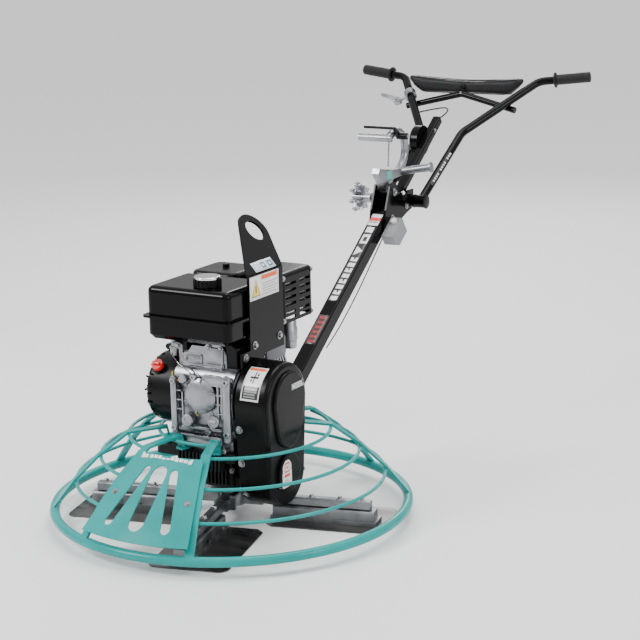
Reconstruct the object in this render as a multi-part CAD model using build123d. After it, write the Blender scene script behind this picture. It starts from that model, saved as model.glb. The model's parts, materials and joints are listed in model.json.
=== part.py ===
from build123d import *
import math
import os

# Walk-behind power trowel, 36 inch class.  Millimetres, +Z up, operator towards +Y,
# belt drive on +X.  Everything is drawn round the rotor axis (x = 0, y = 0) and moved by
# ROTOR_Y at the end, so that the origin lies under the middle of the whole machine.

os.makedirs("parts", exist_ok=True)

# ---------------------------------------------------------------- driving dimensions
ROTOR_Y = -519.25         # rotor axis in the finished frame
FIT = 0.05                # radial clearance of a running fit
GAP = 0.3                 # clearance between curved faces of different bodies
WELD = 0.02               # clearance of a welded or bolted face

RING_R = 457.0            # guard ring, centre radius
RING_TUBE_R = 12.7
RING_Z = 38.0
ROD_R = 4.5               # round bars of the guard dome
ROD_A = (398.0, 112.0)    # radius, height of each bar ring
ROD_B = (333.0, 174.5)
ROD_C = (259.0, 229.0)
ROD_D = (181.0, 237.0)
ARM_AZIMUTHS = (-142.0, -109.5, -70.5, 30.0, 66.0, 114.0, 165.0)
ARM_WIDTH = 24.0
ARM_THICK = 6.0
SHIELD_THICK = 3.0
SHIELD_HALF_ANGLE = 19.3

BLADE_Z = 2.5             # blade thickness, flat on the floor
BLADE_IN = 110.0
BLADE_OUT = 416.0
BLADE_TRAIL = 124.0       # wide side, behind the arm
BLADE_LEAD = 80.0
BLADE_PHASE = 13.6        # azimuth of the first arm
ARM_Z = 48.0              # height of the trowel arm axes
SPIDER_R = 88.0
ARM_SHAFT_R = 9.0
LEVER_R = 89.0            # where each arm's pitch lever stands
LEVER_REACH = 36.0

FORK_PIVOT_Y = 88.0
FORK_Z = 91.0             # height of the fork and its pivot pin
FORK_PIN_R = 5.0
PLATE_Z = 76.0            # underside of the pressure plate
PLATE_THICK = 6.0
WORM_Y = -48.0            # worm and crank axes are offset from the rotor axis
WORM_Z = 152.0
GEARBOX_TOP = 186.0
GEARBOX_BOTTOM = 104.0
BASE_TOP = 208.0          # engine foot plane
CRANK_Z = 340.0
RECOIL_X = -166.0         # outer face of the recoil starter
CARB_X = -104.0
GOVERNOR_X = -15.0        # pivot of the governor arm
GOVERNOR_Z = 383.5
SHROUD_BACK = -81.0       # inner face of the recoil housing
SWITCH_X = -130.0         # engine switch on the recoil housing
SWITCH_ANGLE = 137.0
CAP_X = 2.0               # fuel filler
CAP_Y = -86.0
CAP_R = 33.0
NECK_R = 20.0
TANK_X0 = -148.0          # fuel tank body, without its seam flange
TANK_X1 = 96.0
TANK_Y0 = -142.0
TANK_Y1 = 46.0
TANK_BOTTOM = 484.0
TANK_SEAM = 543.0
TANK_TOP = 620.0
TANK_WALL = 8.0
ROPE_X = -167.0           # starter rope exit
ROPE_Y = 10.0
ROPE_HOLE_Z = 392.0
ROPE_GRIP_Z = 426.0

GUARD_X0 = 109.0          # belt guard, back edge
GUARD_X1 = 200.0          # belt guard, front face
PULLEY_X = 150.0          # middle of the V-belt
CRANK_PULLEY_R = 44.0
INPUT_PULLEY_R = 58.0

TUBE_SIDE = 42.0          # lower handle tube, square
TUBE_SLOPE = 35.5
TUBE_REF = (600.0, 466.0)  # a point of its axis (y, z)
MAST_SIDE = 25.0          # upper handle tube, square
CHEEK_THICK = 5.0         # side plates joining the two tubes
PIVOT_Y = 980.0           # handlebar pivot axis
PIVOT_Z = 674.0
BAR_R = 12.7              # handlebar tube
PIN_Y = 873.0             # pivot of the pitch control handle
PIN_Z = 722.0
PIN_R = 6.0
PIVOT_R = 10.0
PITCH_BAR_R = 11.5        # cast arm and grips of the pitch control
PITCH_LOW = (950.0, 765.0)  # its C-shaped arm, (y, z) from the base to the upper grip
PITCH_BACK = (1001.0, 813.0)
PITCH_HIGH = (901.0, 868.0)
PITCH_TIP = (100.0, 971.0, 779.0)
TRIGGER_PIVOT = (932.0, 872.0)
TRIGGER_PIN_R = 5.0
MAST_LIFT = -20.8         # upper tube axis below the lower tube axis
THROTTLE_PIVOT = (-214.0, 1376.0, 918.0)
CROSSBAR_MIDDLE = (0.0, 1401.0, 947.0)
CROSSBAR_R = 10.0

KNOB_LOBES = 7
PAD_HALF = 196.0          # belly pad
PAD_Y = 1414.0
PAD_THICK = 34.0
PAD_TOP = 1000.0
PAD_SAG = 11.0            # dip of its top edge in the middle
PAD_BOTTOM = 944.0
GRIP_START = (284.0, 1475.0, 992.3)   # right grip, inner and outer end
GRIP_END = (386.0, 1491.0, 1003.0)
GRIP_R = 16.5
GRIP_FLANGE_R = 24.0
BAR_FOOT = (62.0, 988.0, 679.0)       # corner points of the right handlebar arm
BAR_LOW = (70.0, 1251.0, 845.0)
BAR_HIGH = (233.0, 1467.0, 987.0)

BAIL_X = 101.0            # lifting bail, inner face of the upright plate
BAIL_BEND_Z = 648.0
BAIL_LEAN = 42.0
BAIL_THICK = 6.0
BAIL_EYE_Y = 96.0
BAIL_EYE_UP = 112.0
BAIL_EYE_R = 30.0
BAIL_HEAD_R = 51.0

parts = {}


def save(name, shape):
    """Keep a sub-part under its node name, moved to the finished frame."""
    parts[name] = Pos(0, ROTOR_Y, 0) * shape


def box(x0, x1, y0, y1, z0, z1):
    """Box between two corners."""
    centre = Pos((x0 + x1) / 2, (y0 + y1) / 2, (z0 + z1) / 2)
    return centre * Box(x1 - x0, y1 - y0, z1 - z0)


def cyl_x(radius, x0, x1, y, z):
    """Cylinder along X."""
    return Pos((x0 + x1) / 2, y, z) * Rot(0, 90, 0) * Cylinder(radius, x1 - x0)


def cyl_y(radius, y0, y1, x, z):
    """Cylinder along Y."""
    return Pos(x, (y0 + y1) / 2, z) * Rot(90, 0, 0) * Cylinder(radius, y1 - y0)


def cyl_z(radius, z0, z1, x=0.0, y=0.0):
    """Cylinder along Z."""
    return Pos(x, y, (z0 + z1) / 2) * Cylinder(radius, z1 - z0)


def rod(start, end, radius):
    """Straight round bar between two points."""
    a = Vector(*start)
    b = Vector(*end)
    return extrude(Plane(a, z_dir=b - a) * Circle(radius), (b - a).length)


def bent_bar(points, radii, radius):
    """Round bar along straight runs joined by tangent arcs."""
    if len(points) == 2:
        return rod(points[0], points[1], radius)
    path = FilletPolyline(*[Vector(*p) for p in points], radius=radii)
    start = Plane(path @ 0, z_dir=path % 0)
    return sweep(start * Circle(radius), path=path)


def side_outline(points, x0, x1):
    """Prism of an outline given as (y, z) points, from x0 to x1."""
    face = make_face(Polyline(*[(p[0], p[1]) for p in points], close=True))
    return extrude(Plane.YZ.offset(x0) * face, x1 - x0)


def lobe_face(y1, z1, r1, y2, z2, r2):
    """Outline round two circles, in the YZ plane."""
    circles = Pos(y1, z1) * Circle(r1) + Pos(y2, z2) * Circle(r2)
    return make_hull(circles.edges())


def lobe(y1, z1, r1, y2, z2, r2, x0, x1):
    """Prism round two circles from x0 to x1."""
    return extrude(Plane.YZ.offset(x0) * lobe_face(y1, z1, r1, y2, z2, r2), x1 - x0)


def turned(shape, azimuth):
    """Turn a shape drawn along +X to an azimuth about the rotor axis."""
    return Rot(0, 0, azimuth) * shape


def torus(radius, tube, z):
    """Ring lying level."""
    return Pos(0, 0, z) * Torus(radius, tube)


def along_tube(y):
    """Height of the handle tube's axis at a given y."""
    return TUBE_REF[1] + (y - TUBE_REF[0]) * math.tan(math.radians(TUBE_SLOPE))


def in_tube_frame(y, lift=0.0, x=0.0):
    """Frame on the tube axis: local X along the tube, local Y across, local Z off it."""
    slope = math.radians(TUBE_SLOPE)
    base = Vector(x, y, along_tube(y))
    up = Vector(0, -math.sin(slope), math.cos(slope))
    along = Vector(0, math.cos(slope), math.sin(slope))
    return Plane(base + up * lift, x_dir=along, z_dir=up)


# ---------------------------------------------------------------- guard
def rod_arc(ring, start, stop):
    """Round bar bent to part of a level circle."""
    radius, z = ring
    middle = (start + stop) / 2
    ends = [start, middle, stop]
    pts = [(radius * math.cos(math.radians(a)), radius * math.sin(math.radians(a)), z)
           for a in ends]
    path = ThreePointArc(*pts)
    return sweep(Plane(path @ 0, z_dir=path % 0) * Circle(ROD_R), path=path)


def ring_cutters(extra):
    """Guard ring and bar rings, grown a little, to cut whatever is welded to them."""
    cutters = [torus(RING_R, RING_TUBE_R + extra, RING_Z)]
    for radius, z in (ROD_A, ROD_B, ROD_C, ROD_D):
        cutters.append(torus(radius, ROD_R + extra, z))
    return cutters


def guard_arm():
    """Flat bar over the outside of the bar rings, drawn along +X."""
    inner = ROD_R + WELD
    pts = [(161.7, BASE_TOP + 0.1), (168, 237), ROD_D, ROD_C, ROD_A, (RING_R, RING_Z)]
    pts.insert(4, ROD_B)
    near = offset_line(pts, inner)
    far = offset_line(pts, inner + ARM_THICK)
    face = make_face(Polyline(*(near + far[::-1]), close=True))
    bar = extrude(Plane.XZ.offset(-ARM_WIDTH / 2) * face, ARM_WIDTH)
    foot = box(134, 164, -ARM_WIDTH / 2, ARM_WIDTH / 2, BASE_TOP + WELD, BASE_TOP + 6)
    bar = bar + foot
    for cutter in ring_cutters(WELD):
        bar -= cutter
    return max(bar.solids(), key=lambda s: s.volume)


def offset_line(points, distance):
    """Points of an open line moved outwards, to the left of its direction."""
    moved = []
    for i, point in enumerate(points):
        before = points[max(i - 1, 0)]
        after = points[min(i + 1, len(points) - 1)]
        d1 = (Vector(*point) - Vector(*before)).normalized() if i else None
        d2 = (Vector(*after) - Vector(*point)).normalized() if i < len(points) - 1 else None
        d1 = d1 or d2
        d2 = d2 or d1
        n1 = Vector(-d1.Y, d1.X)
        n2 = Vector(-d2.Y, d2.X)
        n = (n1 + n2).normalized()
        shift = n * (distance / n.dot(n1))
        moved.append((point[0] + shift.X, point[1] + shift.Y))
    return moved


def make_guard():
    save("guard_ring", torus(RING_R, RING_TUBE_R, RING_Z))
    rods = [rod_arc(ROD_A, -70.5, 250.5), rod_arc(ROD_B, -70.5, 250.5)]
    rods += [rod_arc(ROD_C, -70.5, 66.0), rod_arc(ROD_C, 114.0, 250.5)]
    rods += [rod_arc(ROD_D, 165.0, 289.5)]
    save("guard_rods", Compound(children=rods))
    arms = [turned(guard_arm(), a) for a in ARM_AZIMUTHS]
    save("guard_arms", Compound(children=arms))


def make_shield():
    """Conical plate over the two front arms, with three finger slots."""
    lift = ROD_R + ARM_THICK + 2 * WELD + 0.6
    low = Vector(461.0, 68.0)
    high = Vector(283.0, 231.0)
    run = (high - low).normalized()
    normal = Vector(-run.Y, run.X) * -1
    if normal.X < 0:
        normal = normal * -1
    outermost = max(Vector(*ring).dot(normal) for ring in (ROD_A, ROD_B, ROD_C))
    start = low + normal * (outermost + lift - low.dot(normal))
    end = start + run * (high - low).length
    thick = normal * SHIELD_THICK
    outline = [start, end, end + thick, start + thick]
    face = make_face(Polyline(*[(p.X, p.Y) for p in outline], close=True))
    shell = revolve(Plane.XZ * face, Axis.Z, 2 * SHIELD_HALF_ANGLE)
    shell = turned(shell, -90.0 - SHIELD_HALF_ANGLE)
    tall = 300.0
    for x_top, x_low, r_top, r_low, y_top in ((0, 0, 21, 21, -326), (-40, -81, 10, 12, -318),
                                              (40, 81, 10, 12, -318)):
        ends = Pos(x_top, y_top) * Circle(r_top) + Pos(x_low, -422) * Circle(r_low)
        shell -= extrude(make_hull(ends.edges()), tall)
    save("front_shield", max(shell.solids(), key=lambda s: s.volume))


# ---------------------------------------------------------------- rotor and gearbox
def make_gearbox():
    wall = 10.0
    x_half = 66.0
    y0 = -96.0
    y1 = 62.0
    body = box(-x_half, x_half, y0, y1, GEARBOX_BOTTOM, GEARBOX_TOP - WELD)
    body = fillet(body.edges().filter_by(Axis.Z), 14)
    cavity = box(-x_half + wall, x_half - wall, y0 + wall, y1 - wall,
                 GEARBOX_BOTTOM + wall, GEARBOX_TOP - wall)
    body -= cavity
    body += cyl_x(28, x_half - 4, 90, WORM_Y, WORM_Z)
    for i in range(4):
        body += cyl_x(33, 70 + i * 5, 72 + i * 5, WORM_Y, WORM_Z)
    body -= cavity
    for side in (-1, 1):
        x0, x1 = sorted((side * 14, side * 24))
        body += box(x0, x1, 50, 101, 97, 112) + box(x0, x1, 80, 101, 83.5, 112)
    body += cyl_z(34, 93, GEARBOX_BOTTOM + 4)
    body -= cyl_x(FORK_PIN_R + FIT, -40, 40, FORK_PIVOT_Y, FORK_Z)
    for i in range(10):
        x = -50 + i * 11
        body += box(x, x + 4, y0 - 10, y0 + 2, 112, 180)
    body -= cyl_x(11 + FIT, 0, 120, WORM_Y, WORM_Z)
    body -= cyl_x(11 + FIT, -60, 0, WORM_Y, WORM_Z)
    body -= cyl_z(16 + FIT, 80, 160)
    save("gearbox_housing", body)

    save("output_shaft", cyl_z(16, 78, 172) + cyl_z(21, 168, 172))
    wheel = cyl_z(33.7, WORM_Z - 14, WORM_Z + 14) - cyl_z(16 + WELD, 100, 200)
    save("worm_wheel", wheel)
    worm = cyl_x(11, -58, 176, WORM_Y, WORM_Z) + cyl_x(14, -36, 36, WORM_Y, WORM_Z)
    save("worm_shaft", worm)


def pulley(radius, x0, x1, y, z, bore, grow=0.0):
    """V-belt pulley with one groove in the middle; grow thickens it into a cutter."""
    outer = radius + 7 + grow
    groove_in = radius - 6 + grow
    half = (x1 - x0) / 2
    middle = (x0 + x1) / 2
    pts = [(bore, -half), (outer, -half), (outer, grow - 6.5), (groove_in, grow - 4),
           (groove_in, 4 - grow), (outer, 6.5 - grow), (outer, half), (bore, half)]
    face = make_face(Polyline(*pts, close=True))
    solid = revolve(Plane.XZ * face, Axis.Z)
    return Pos(middle, y, z) * Rot(0, 90, 0) * solid


def make_drive():
    save("gearbox_pulley", pulley(INPUT_PULLEY_R, PULLEY_X - 11, PULLEY_X + 11,
                                  WORM_Y, WORM_Z, 11 + WELD))
    crank = pulley(CRANK_PULLEY_R, PULLEY_X - 14, PULLEY_X + 14, WORM_Y, CRANK_Z, 12)
    crank += cyl_x(12, 100.5, 176, WORM_Y, CRANK_Z)
    crank += cyl_x(34, PULLEY_X + 14, PULLEY_X + 22, WORM_Y, CRANK_Z)
    save("crank_pulley", crank)
    outer = lobe(WORM_Y, CRANK_Z, CRANK_PULLEY_R + 5, WORM_Y, WORM_Z, INPUT_PULLEY_R + 5,
                 PULLEY_X - 5.2, PULLEY_X + 5.2)
    inner = lobe(WORM_Y, CRANK_Z, CRANK_PULLEY_R - 3, WORM_Y, WORM_Z, INPUT_PULLEY_R - 3,
                 PULLEY_X - 10, PULLEY_X + 10)
    belt = outer - inner
    belt -= pulley(INPUT_PULLEY_R, PULLEY_X - 30, PULLEY_X + 30, WORM_Y, WORM_Z, 5, GAP)
    belt -= pulley(CRANK_PULLEY_R, PULLEY_X - 30, PULLEY_X + 30, WORM_Y, CRANK_Z, 5, GAP)
    save("drive_belt", max(belt.solids(), key=lambda s: s.volume))


def make_belt_guard():
    wall = 3.0
    upper = (WORM_Y + 2, CRANK_Z - 4, 100.0)
    lower = (WORM_Y + 2, WORM_Z, 86.0)
    shell = lobe(*upper, *lower, GUARD_X0, GUARD_X1)
    front = shell.faces().sort_by(Axis.X)[-1]
    shell = fillet(front.edges(), 12)
    hollow = lobe(upper[0], upper[1], upper[2] - wall, lower[0], lower[1], lower[2] - wall,
                  GUARD_X0 - 1, GUARD_X1 - wall)
    panel = lobe(WORM_Y + 8, CRANK_Z, 74, WORM_Y + 4, CRANK_Z - 62, 60,
                 GUARD_X1 - 4, GUARD_X1 + 8)
    panel = fillet(panel.faces().sort_by(Axis.X)[-1].edges(), 6)
    boss = cyl_x(50, GUARD_X1 - 4, GUARD_X1 + 10, WORM_Y - 4, WORM_Z + 4)
    boss = fillet(boss.faces().sort_by(Axis.X)[-1].edges(), 4)
    shell = shell + panel + boss - hollow
    back = lobe(*upper, *lower, GUARD_X0, GUARD_X0 + wall)
    back -= cyl_x(56, 60, 140, WORM_Y, WORM_Z)
    back -= cyl_x(40, 60, 140, WORM_Y, CRANK_Z)
    save("belt_guard", shell + back)


def arm_angle(i):
    return BLADE_PHASE + 90.0 * i


def make_rotor():
    hub = cyl_z(38, 30, ARM_Z + 15) + cyl_z(28, ARM_Z + 15, 90)
    for i in range(4):
        block = box(20, SPIDER_R, -19, 19, ARM_Z - 15, ARM_Z + 15)
        hub += turned(fillet(block.edges().filter_by(Axis.X), 5), arm_angle(i))
    for i in range(4):
        hub -= turned(cyl_x(ARM_SHAFT_R + FIT, 44, 100, 0, ARM_Z), arm_angle(i))
    hub -= cyl_z(16 + WELD, 20, 100)
    save("spider_hub", hub)

    plate = cyl_z(60, PLATE_Z, PLATE_Z + PLATE_THICK)
    for i in range(4):
        finger = box(0, LEVER_R + 11, LEVER_REACH - 8, LEVER_REACH + 6,
                     PLATE_Z, PLATE_Z + PLATE_THICK)
        plate += turned(finger, arm_angle(i))
    plate -= cyl_z(28 + GAP, PLATE_Z - 5, PLATE_Z + 10)
    save("pressure_plate", plate)

    for i in range(4):
        make_trowel_arm(i)


def make_trowel_arm(i):
    angle = arm_angle(i)
    arm = cyl_x(ARM_SHAFT_R, 46, SPIDER_R + 2, 0, ARM_Z)
    beam = box(SPIDER_R + 1, 372, -13, 13, ARM_Z - 11, ARM_Z + 13)
    arm += fillet(beam.edges().filter_by(Axis.X), 5)
    arm += box(LEVER_R, LEVER_R + 12, 8, LEVER_REACH + 6, ARM_Z - 4, ARM_Z + 10)
    post_top = PLATE_Z - GAP
    arm += box(LEVER_R, LEVER_R + 12, LEVER_REACH - 5, LEVER_REACH + 5, ARM_Z, post_top)
    save(f"trowel_arm_{i + 1}", turned(arm, angle))

    bar = box(112, 392, -30, 30, BLADE_Z + WELD, BLADE_Z + 10)
    bar += box(116, 384, -21, 21, BLADE_Z + 9, ARM_Z - 11 - WELD)
    bar = fillet(bar.edges().filter_by(Axis.X).sort_by(Axis.Z)[-2:], 6)
    for x in (150, 250, 350):
        bar += Pos(x, 25.5, BLADE_Z + 9) * extrude(RegularPolygon(5, 6), 6)
    save(f"blade_bar_{i + 1}", turned(bar, angle))

    blade = box(BLADE_IN, BLADE_OUT, -BLADE_LEAD, BLADE_TRAIL, 0, BLADE_Z)
    corners = blade.edges().filter_by(Axis.Z).sort_by(Axis.X)
    blade = fillet(corners[-2:], 26)
    corners = blade.edges().filter_by(Axis.Z).sort_by(Axis.X)
    blade = chamfer(corners[:2], 20)
    save(f"blade_{i + 1}", turned(blade, angle))


def make_fork():
    """Fork under the gearbox whose two pads press the plate down."""
    pad_z = PLATE_Z + PLATE_THICK + GAP + 6
    fork = box(-58, 58, 62, 78, FORK_Z - 4, FORK_Z + 3.5)
    fork += box(-10, 10, 70, 118, FORK_Z - 4, FORK_Z + 4)
    fork += cyl_x(7.5, -13.5, 13.5, FORK_PIVOT_Y, FORK_Z)
    fork += cyl_x(FORK_PIN_R, -30, 30, FORK_PIVOT_Y, FORK_Z)
    for side in (-1, 1):
        x0, x1 = sorted((side * 46, side * 58))
        fork += box(x0, x1, 0, 70, FORK_Z - 4, FORK_Z + 3.5)
        fork += cyl_x(6, x0, x1, 0, pad_z)
    save("pitch_fork", fork)


# ---------------------------------------------------------------- engine
def make_engine():
    top = BASE_TOP - WELD
    base = box(-140, 100, -140, 120, GEARBOX_TOP, top)
    base = fillet(base.edges().filter_by(Axis.Z), 18)
    base += box(80, 125, 56, 100, GEARBOX_TOP, top)
    for i in range(12):
        x = -62 + i * 11
        base += box(x, x + 5, -152, -138, GEARBOX_TOP - 22, top - 2)
    base += box(-66, 66, -140, -110, GEARBOX_TOP - 22, GEARBOX_TOP + 2)
    save("engine_base", base)

    case = box(SHROUD_BACK + 1, 96, -128, 60, BASE_TOP + 26, 420)
    case = fillet(case.edges().filter_by(Axis.X), 34)
    foot = box(-64, 84, -118, 70, BASE_TOP, BASE_TOP + 28)
    cover = cyl_x(92, 84, 98, WORM_Y, CRANK_Z - 6)
    case = case + foot + cover - box(-70, 80, -118, 50, BASE_TOP + 36, 410)
    case -= cyl_x(12 + FIT, 60, 120, WORM_Y, CRANK_Z)
    save("crankcase", case)

    tilt = 22.0
    head_frame = Pos(0, WORM_Y, CRANK_Z) * Rot(tilt, 0, 0)
    block = box(-62, 58, 112, 130, -52, 52)
    for i in range(9):
        block += box(-76, 66, 132 + i * 11, 138 + i * 11, -66, 66)
    block += box(-52, 48, 100, 232, -46, 46)
    cylinder = head_frame * block
    cylinder -= box(-200, 200, -200, 60 + WELD, 0, 600)
    save("cylinder_head", max(cylinder.solids(), key=lambda s: s.volume))
    rocker = box(-52, 50, 232 + WELD, 262, -48, 48)
    rocker = fillet(rocker.edges().sort_by(Axis.Y)[-4:], 8)
    save("rocker_cover", head_frame * rocker)

    shroud = cyl_x(94, RECOIL_X + 32, SHROUD_BACK, WORM_Y, CRANK_Z)
    shroud += cyl_x(90, RECOIL_X, RECOIL_X + 34, WORM_Y, CRANK_Z)
    shroud = fillet(shroud.faces().sort_by(Axis.X)[0].edges(), 14)
    for i in range(24):
        slot = Pos(0, 86, 0) * Box(44, 16, 7)
        shroud -= Pos(RECOIL_X, WORM_Y, CRANK_Z) * Rot(15 * i, 0, 0) * slot
    shroud += box(RECOIL_X + 34, SHROUD_BACK, WORM_Y, 60, 330, 430)
    shroud += box(ROPE_X - 13, ROPE_X + 17, ROPE_Y - 14, ROPE_Y + 14, 388, ROPE_GRIP_Z - 1)
    shroud -= cyl_z(5, ROPE_HOLE_Z, ROPE_GRIP_Z + 20, ROPE_X, ROPE_Y)
    seat = Plane((SWITCH_X, WORM_Y, CRANK_Z), x_dir=(1, 0, 0),
                 z_dir=Vector(0, math.cos(math.radians(SWITCH_ANGLE)),
                              math.sin(math.radians(SWITCH_ANGLE))))
    shroud += seat * (Pos(0, 0, 88) * Cylinder(19, 16))
    save("recoil_housing", shroud)
    switch = Pos(0, 0, 99 + WELD) * Cylinder(8, 6) + Pos(0, 0, 107) * Cylinder(15, 11)
    save("engine_switch", seat * switch)


def make_tank():
    """Two pressed halves joined at a seam flange, with a filler neck and cap."""
    low = box(TANK_X0, TANK_X1, TANK_Y0, TANK_Y1, TANK_BOTTOM, TANK_SEAM)
    low = fillet(low.edges().filter_by(Axis.Z), 18)
    low = chamfer(low.faces().sort_by(Axis.Z)[0].edges(), 12)
    top = box(TANK_X0, TANK_X1, TANK_Y0, TANK_Y1, TANK_SEAM, TANK_TOP)
    top = fillet(top.edges().filter_by(Axis.Z), 18)
    top = fillet(top.faces().sort_by(Axis.Z)[-1].edges(), 16)
    seam = box(TANK_X0 - 9, TANK_X1 + 12, TANK_Y0 - 12, TANK_Y1 + 12, TANK_SEAM - 3, TANK_SEAM + 3)
    seam = fillet(seam.edges().filter_by(Axis.Z), 16)
    seam -= box(BAIL_X - 1.5, BAIL_X + 20, -66, TANK_Y1 + 20, TANK_SEAM - 10, TANK_SEAM + 10)
    cavity = box(TANK_X0 + TANK_WALL, TANK_X1 - TANK_WALL, TANK_Y0 + TANK_WALL,
                 TANK_Y1 - TANK_WALL, TANK_BOTTOM + TANK_WALL, TANK_TOP - TANK_WALL)
    tank = low + top + seam - cavity
    neck_top = TANK_TOP + 14
    tank += cyl_z(NECK_R, TANK_TOP - 6, neck_top, CAP_X, CAP_Y)
    tank -= cyl_z(NECK_R - 3, TANK_TOP - 10, neck_top + 1, CAP_X, CAP_Y)
    tank += box(-100, 60, 20, 40, TANK_BOTTOM - 14, TANK_BOTTOM + 4)
    save("fuel_tank", tank)
    cap = cyl_z(CAP_R, TANK_TOP + 3, TANK_TOP + 27, CAP_X, CAP_Y)
    cap -= cyl_z(NECK_R + GAP, TANK_TOP, neck_top + 2, CAP_X, CAP_Y)
    cap = fillet(cap.edges().sort_by(Axis.Z)[-1:], 3)
    save("fuel_cap", cap)


def make_engine_top():
    cleaner = box(-142, -14, 62, 190, 500, 590)
    cleaner = fillet(cleaner.edges().filter_by(Axis.Z), 22)
    lid = box(-148, -8, 56, 196, 590, 622)
    lid = fillet(lid.edges().filter_by(Axis.Z), 26)
    lid = fillet(lid.faces().sort_by(Axis.Z)[-1].edges(), 12)
    cleaner += lid + cyl_z(9, 620, 632, -78, 126)
    save("air_cleaner", cleaner)

    silencer = box(4, 86, 128, 264, 500, 600)
    silencer = fillet(silencer.edges(), 16) - box(14, 76, 138, 254, 510, 590)
    silencer += cyl_z(14, 489, 502, 30, 150)
    save("muffler", silencer)
    cover = box(-4, 95, 116, 278, 486, 618)
    cover = fillet(cover.edges().filter_by(Axis.Z), 16)
    cover = fillet(cover.faces().sort_by(Axis.Z)[-1].edges(), 12)
    cover -= box(0, 91, 120, 274, 480, 613)
    for column in (134, 206):
        for row in range(4):
            z = 530 + row * 18
            cover -= box(80, 110, column, column + 54, z, z + 8)
        for row in range(2):
            z = 494 + row * 15
            cover -= box(80, 110, column, column + 50, z, z + 8)
    for row in range(4):
        z = 530 + row * 18
        cover -= box(14, 76, 262, 290, z, z + 8)
    save("muffler_guard", cover)

    carb = box(-124, -82, 66, 118, 440, 486) + cyl_y(17, 58, 66, CARB_X, 460)
    carb += cyl_z(13, 420, 441, CARB_X + 2, 100)
    carb += cyl_y(4, 50, 60, CARB_X, 476)
    save("carburettor", carb)
    choke = cyl_y(7, 46, 50 - WELD, CARB_X, 476) + box(-134, CARB_X, 46, 50 - WELD, 472, 480)
    save("choke_lever", choke)
    arm = cyl_y(5, -136, -128 - WELD, GOVERNOR_X, GOVERNOR_Z)
    arm += rod((-28, -134, 406), (35, -134, 296), 1.6)
    save("governor_arm", arm)


def make_bail():
    """Bent plate: upright on the engine's drive side, leaning over the machine's balance."""
    outer_x = BAIL_X + BAIL_THICK
    plate = box(BAIL_X, outer_x, -60, 102, 440, BAIL_BEND_Z)
    plate += box(BAIL_X, outer_x, -100, 4, 285, 460)
    plate -= cyl_x(36, BAIL_X - 1, outer_x + 1, WORM_Y, CRANK_Z)
    lean = math.radians(BAIL_LEAN)
    up = Vector(-math.sin(lean), 0, math.cos(lean))
    frame = Plane((BAIL_X + BAIL_THICK / 2, 0, BAIL_BEND_Z), x_dir=(0, 1, 0),
                  z_dir=Vector(0, 1, 0).cross(up))
    eye = Pos(BAIL_EYE_Y, BAIL_EYE_UP)
    foot = Pos(21, 4) * Rectangle(162, 8)
    face = make_hull((eye * Circle(BAIL_HEAD_R) + foot).edges()) - eye * Circle(BAIL_EYE_R)
    plate += extrude(frame * face, BAIL_THICK / 2, both=True)
    save("lifting_bail", plate)


# ---------------------------------------------------------------- handle
def square_tube(side, wall, y0, y1, lift):
    """Square tube parallel to the handle, between two heights given by y."""
    length = (y1 - y0) / math.cos(math.radians(TUBE_SLOPE))
    frame = in_tube_frame(y0, lift)
    end = Plane(frame.origin, x_dir=(1, 0, 0), z_dir=frame.x_dir)
    outer = extrude(end * RectangleRounded(side, side, 4), length)
    inner = extrude(end * Rectangle(side - 2 * wall, side - 2 * wall), length)
    return outer - inner


def make_handle():
    save("handle_tube", square_tube(TUBE_SIDE, 3, 150, 862, 0) + handle_bracket())
    head = square_tube(MAST_SIDE, 2.5, 905, 1213, MAST_LIFT)
    half = TUBE_SIDE / 2 + WELD
    outline = [(812, 596), (828, 668), (856, 738), (886, 744), (900, 730), (905, 706),
               (1006, 706), (1006, 652), (960, 640), (868, 606)]
    for side in (-1, 1):
        x0, x1 = sorted((side * half, side * (half + CHEEK_THICK)))
        head += side_outline(outline, x0, x1)
    web = [(880, 650), (872, 670), (930, 694), (1000, 700), (996, 660), (955, 646)]
    head += side_outline(web, -half - 1, half + 1)
    head += cyl_x(19, -44, 44, PIVOT_Y, PIVOT_Z)
    head -= cyl_x(PIVOT_R + FIT, -60, 60, PIVOT_Y, PIVOT_Z)
    bore = Plane(in_tube_frame(900, MAST_LIFT).origin, x_dir=(1, 0, 0),
                 z_dir=in_tube_frame(900).x_dir)
    head -= extrude(bore * Rectangle(MAST_SIDE - 5, MAST_SIDE - 5), 400, both=True)
    head -= cyl_x(PIN_R + FIT, -60, 60, PIN_Y, PIN_Z)
    save("handle_head", head)


def handle_bracket():
    """Two plates that hold the tube's foot to the engine base."""
    outline = [(120.02, 140), (120.02, 204), (170, 204), (262, 262), (282, 226), (190, 150),
               (160, 118)]
    half = TUBE_SIDE / 2
    plates = side_outline(outline, half, half + 6) + side_outline(outline, -half - 6, -half)
    return plates + box(-half - 6, half + 6, 120.02, 128, 140, 204)


def on_side(side, point):
    """A point given for the right side, on the right (1) or left (-1) side."""
    return Vector(side * point[0], point[1], point[2])


def handlebar_side(side):
    pts = [on_side(side, p) for p in (BAR_FOOT, BAR_LOW, BAR_HIGH, GRIP_END)]
    return bent_bar([tuple(p) for p in pts], [60, 46], BAR_R)


def arm_point(side, share):
    """Point on the upper run of a handlebar arm, from the low bend to the high bend."""
    low = on_side(side, BAR_LOW)
    return low + (on_side(side, BAR_HIGH) - low) * share


def crossbar_end(side, middle):
    """End of the crossbar: it passes behind the arm, touching it, and stands out a little."""
    crossing = arm_point(side, 0.58)
    along = (arm_point(side, 1.0) - arm_point(side, 0.0)).normalized()
    reach = BAR_R + CROSSBAR_R + 0.3
    end = crossing
    for _ in range(3):
        normal = (middle - end).cross(along).normalized()
        if normal.Z > 0:
            normal = normal * -1
        end = crossing + normal * reach
    return end + (end - middle).normalized() * 26


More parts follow.
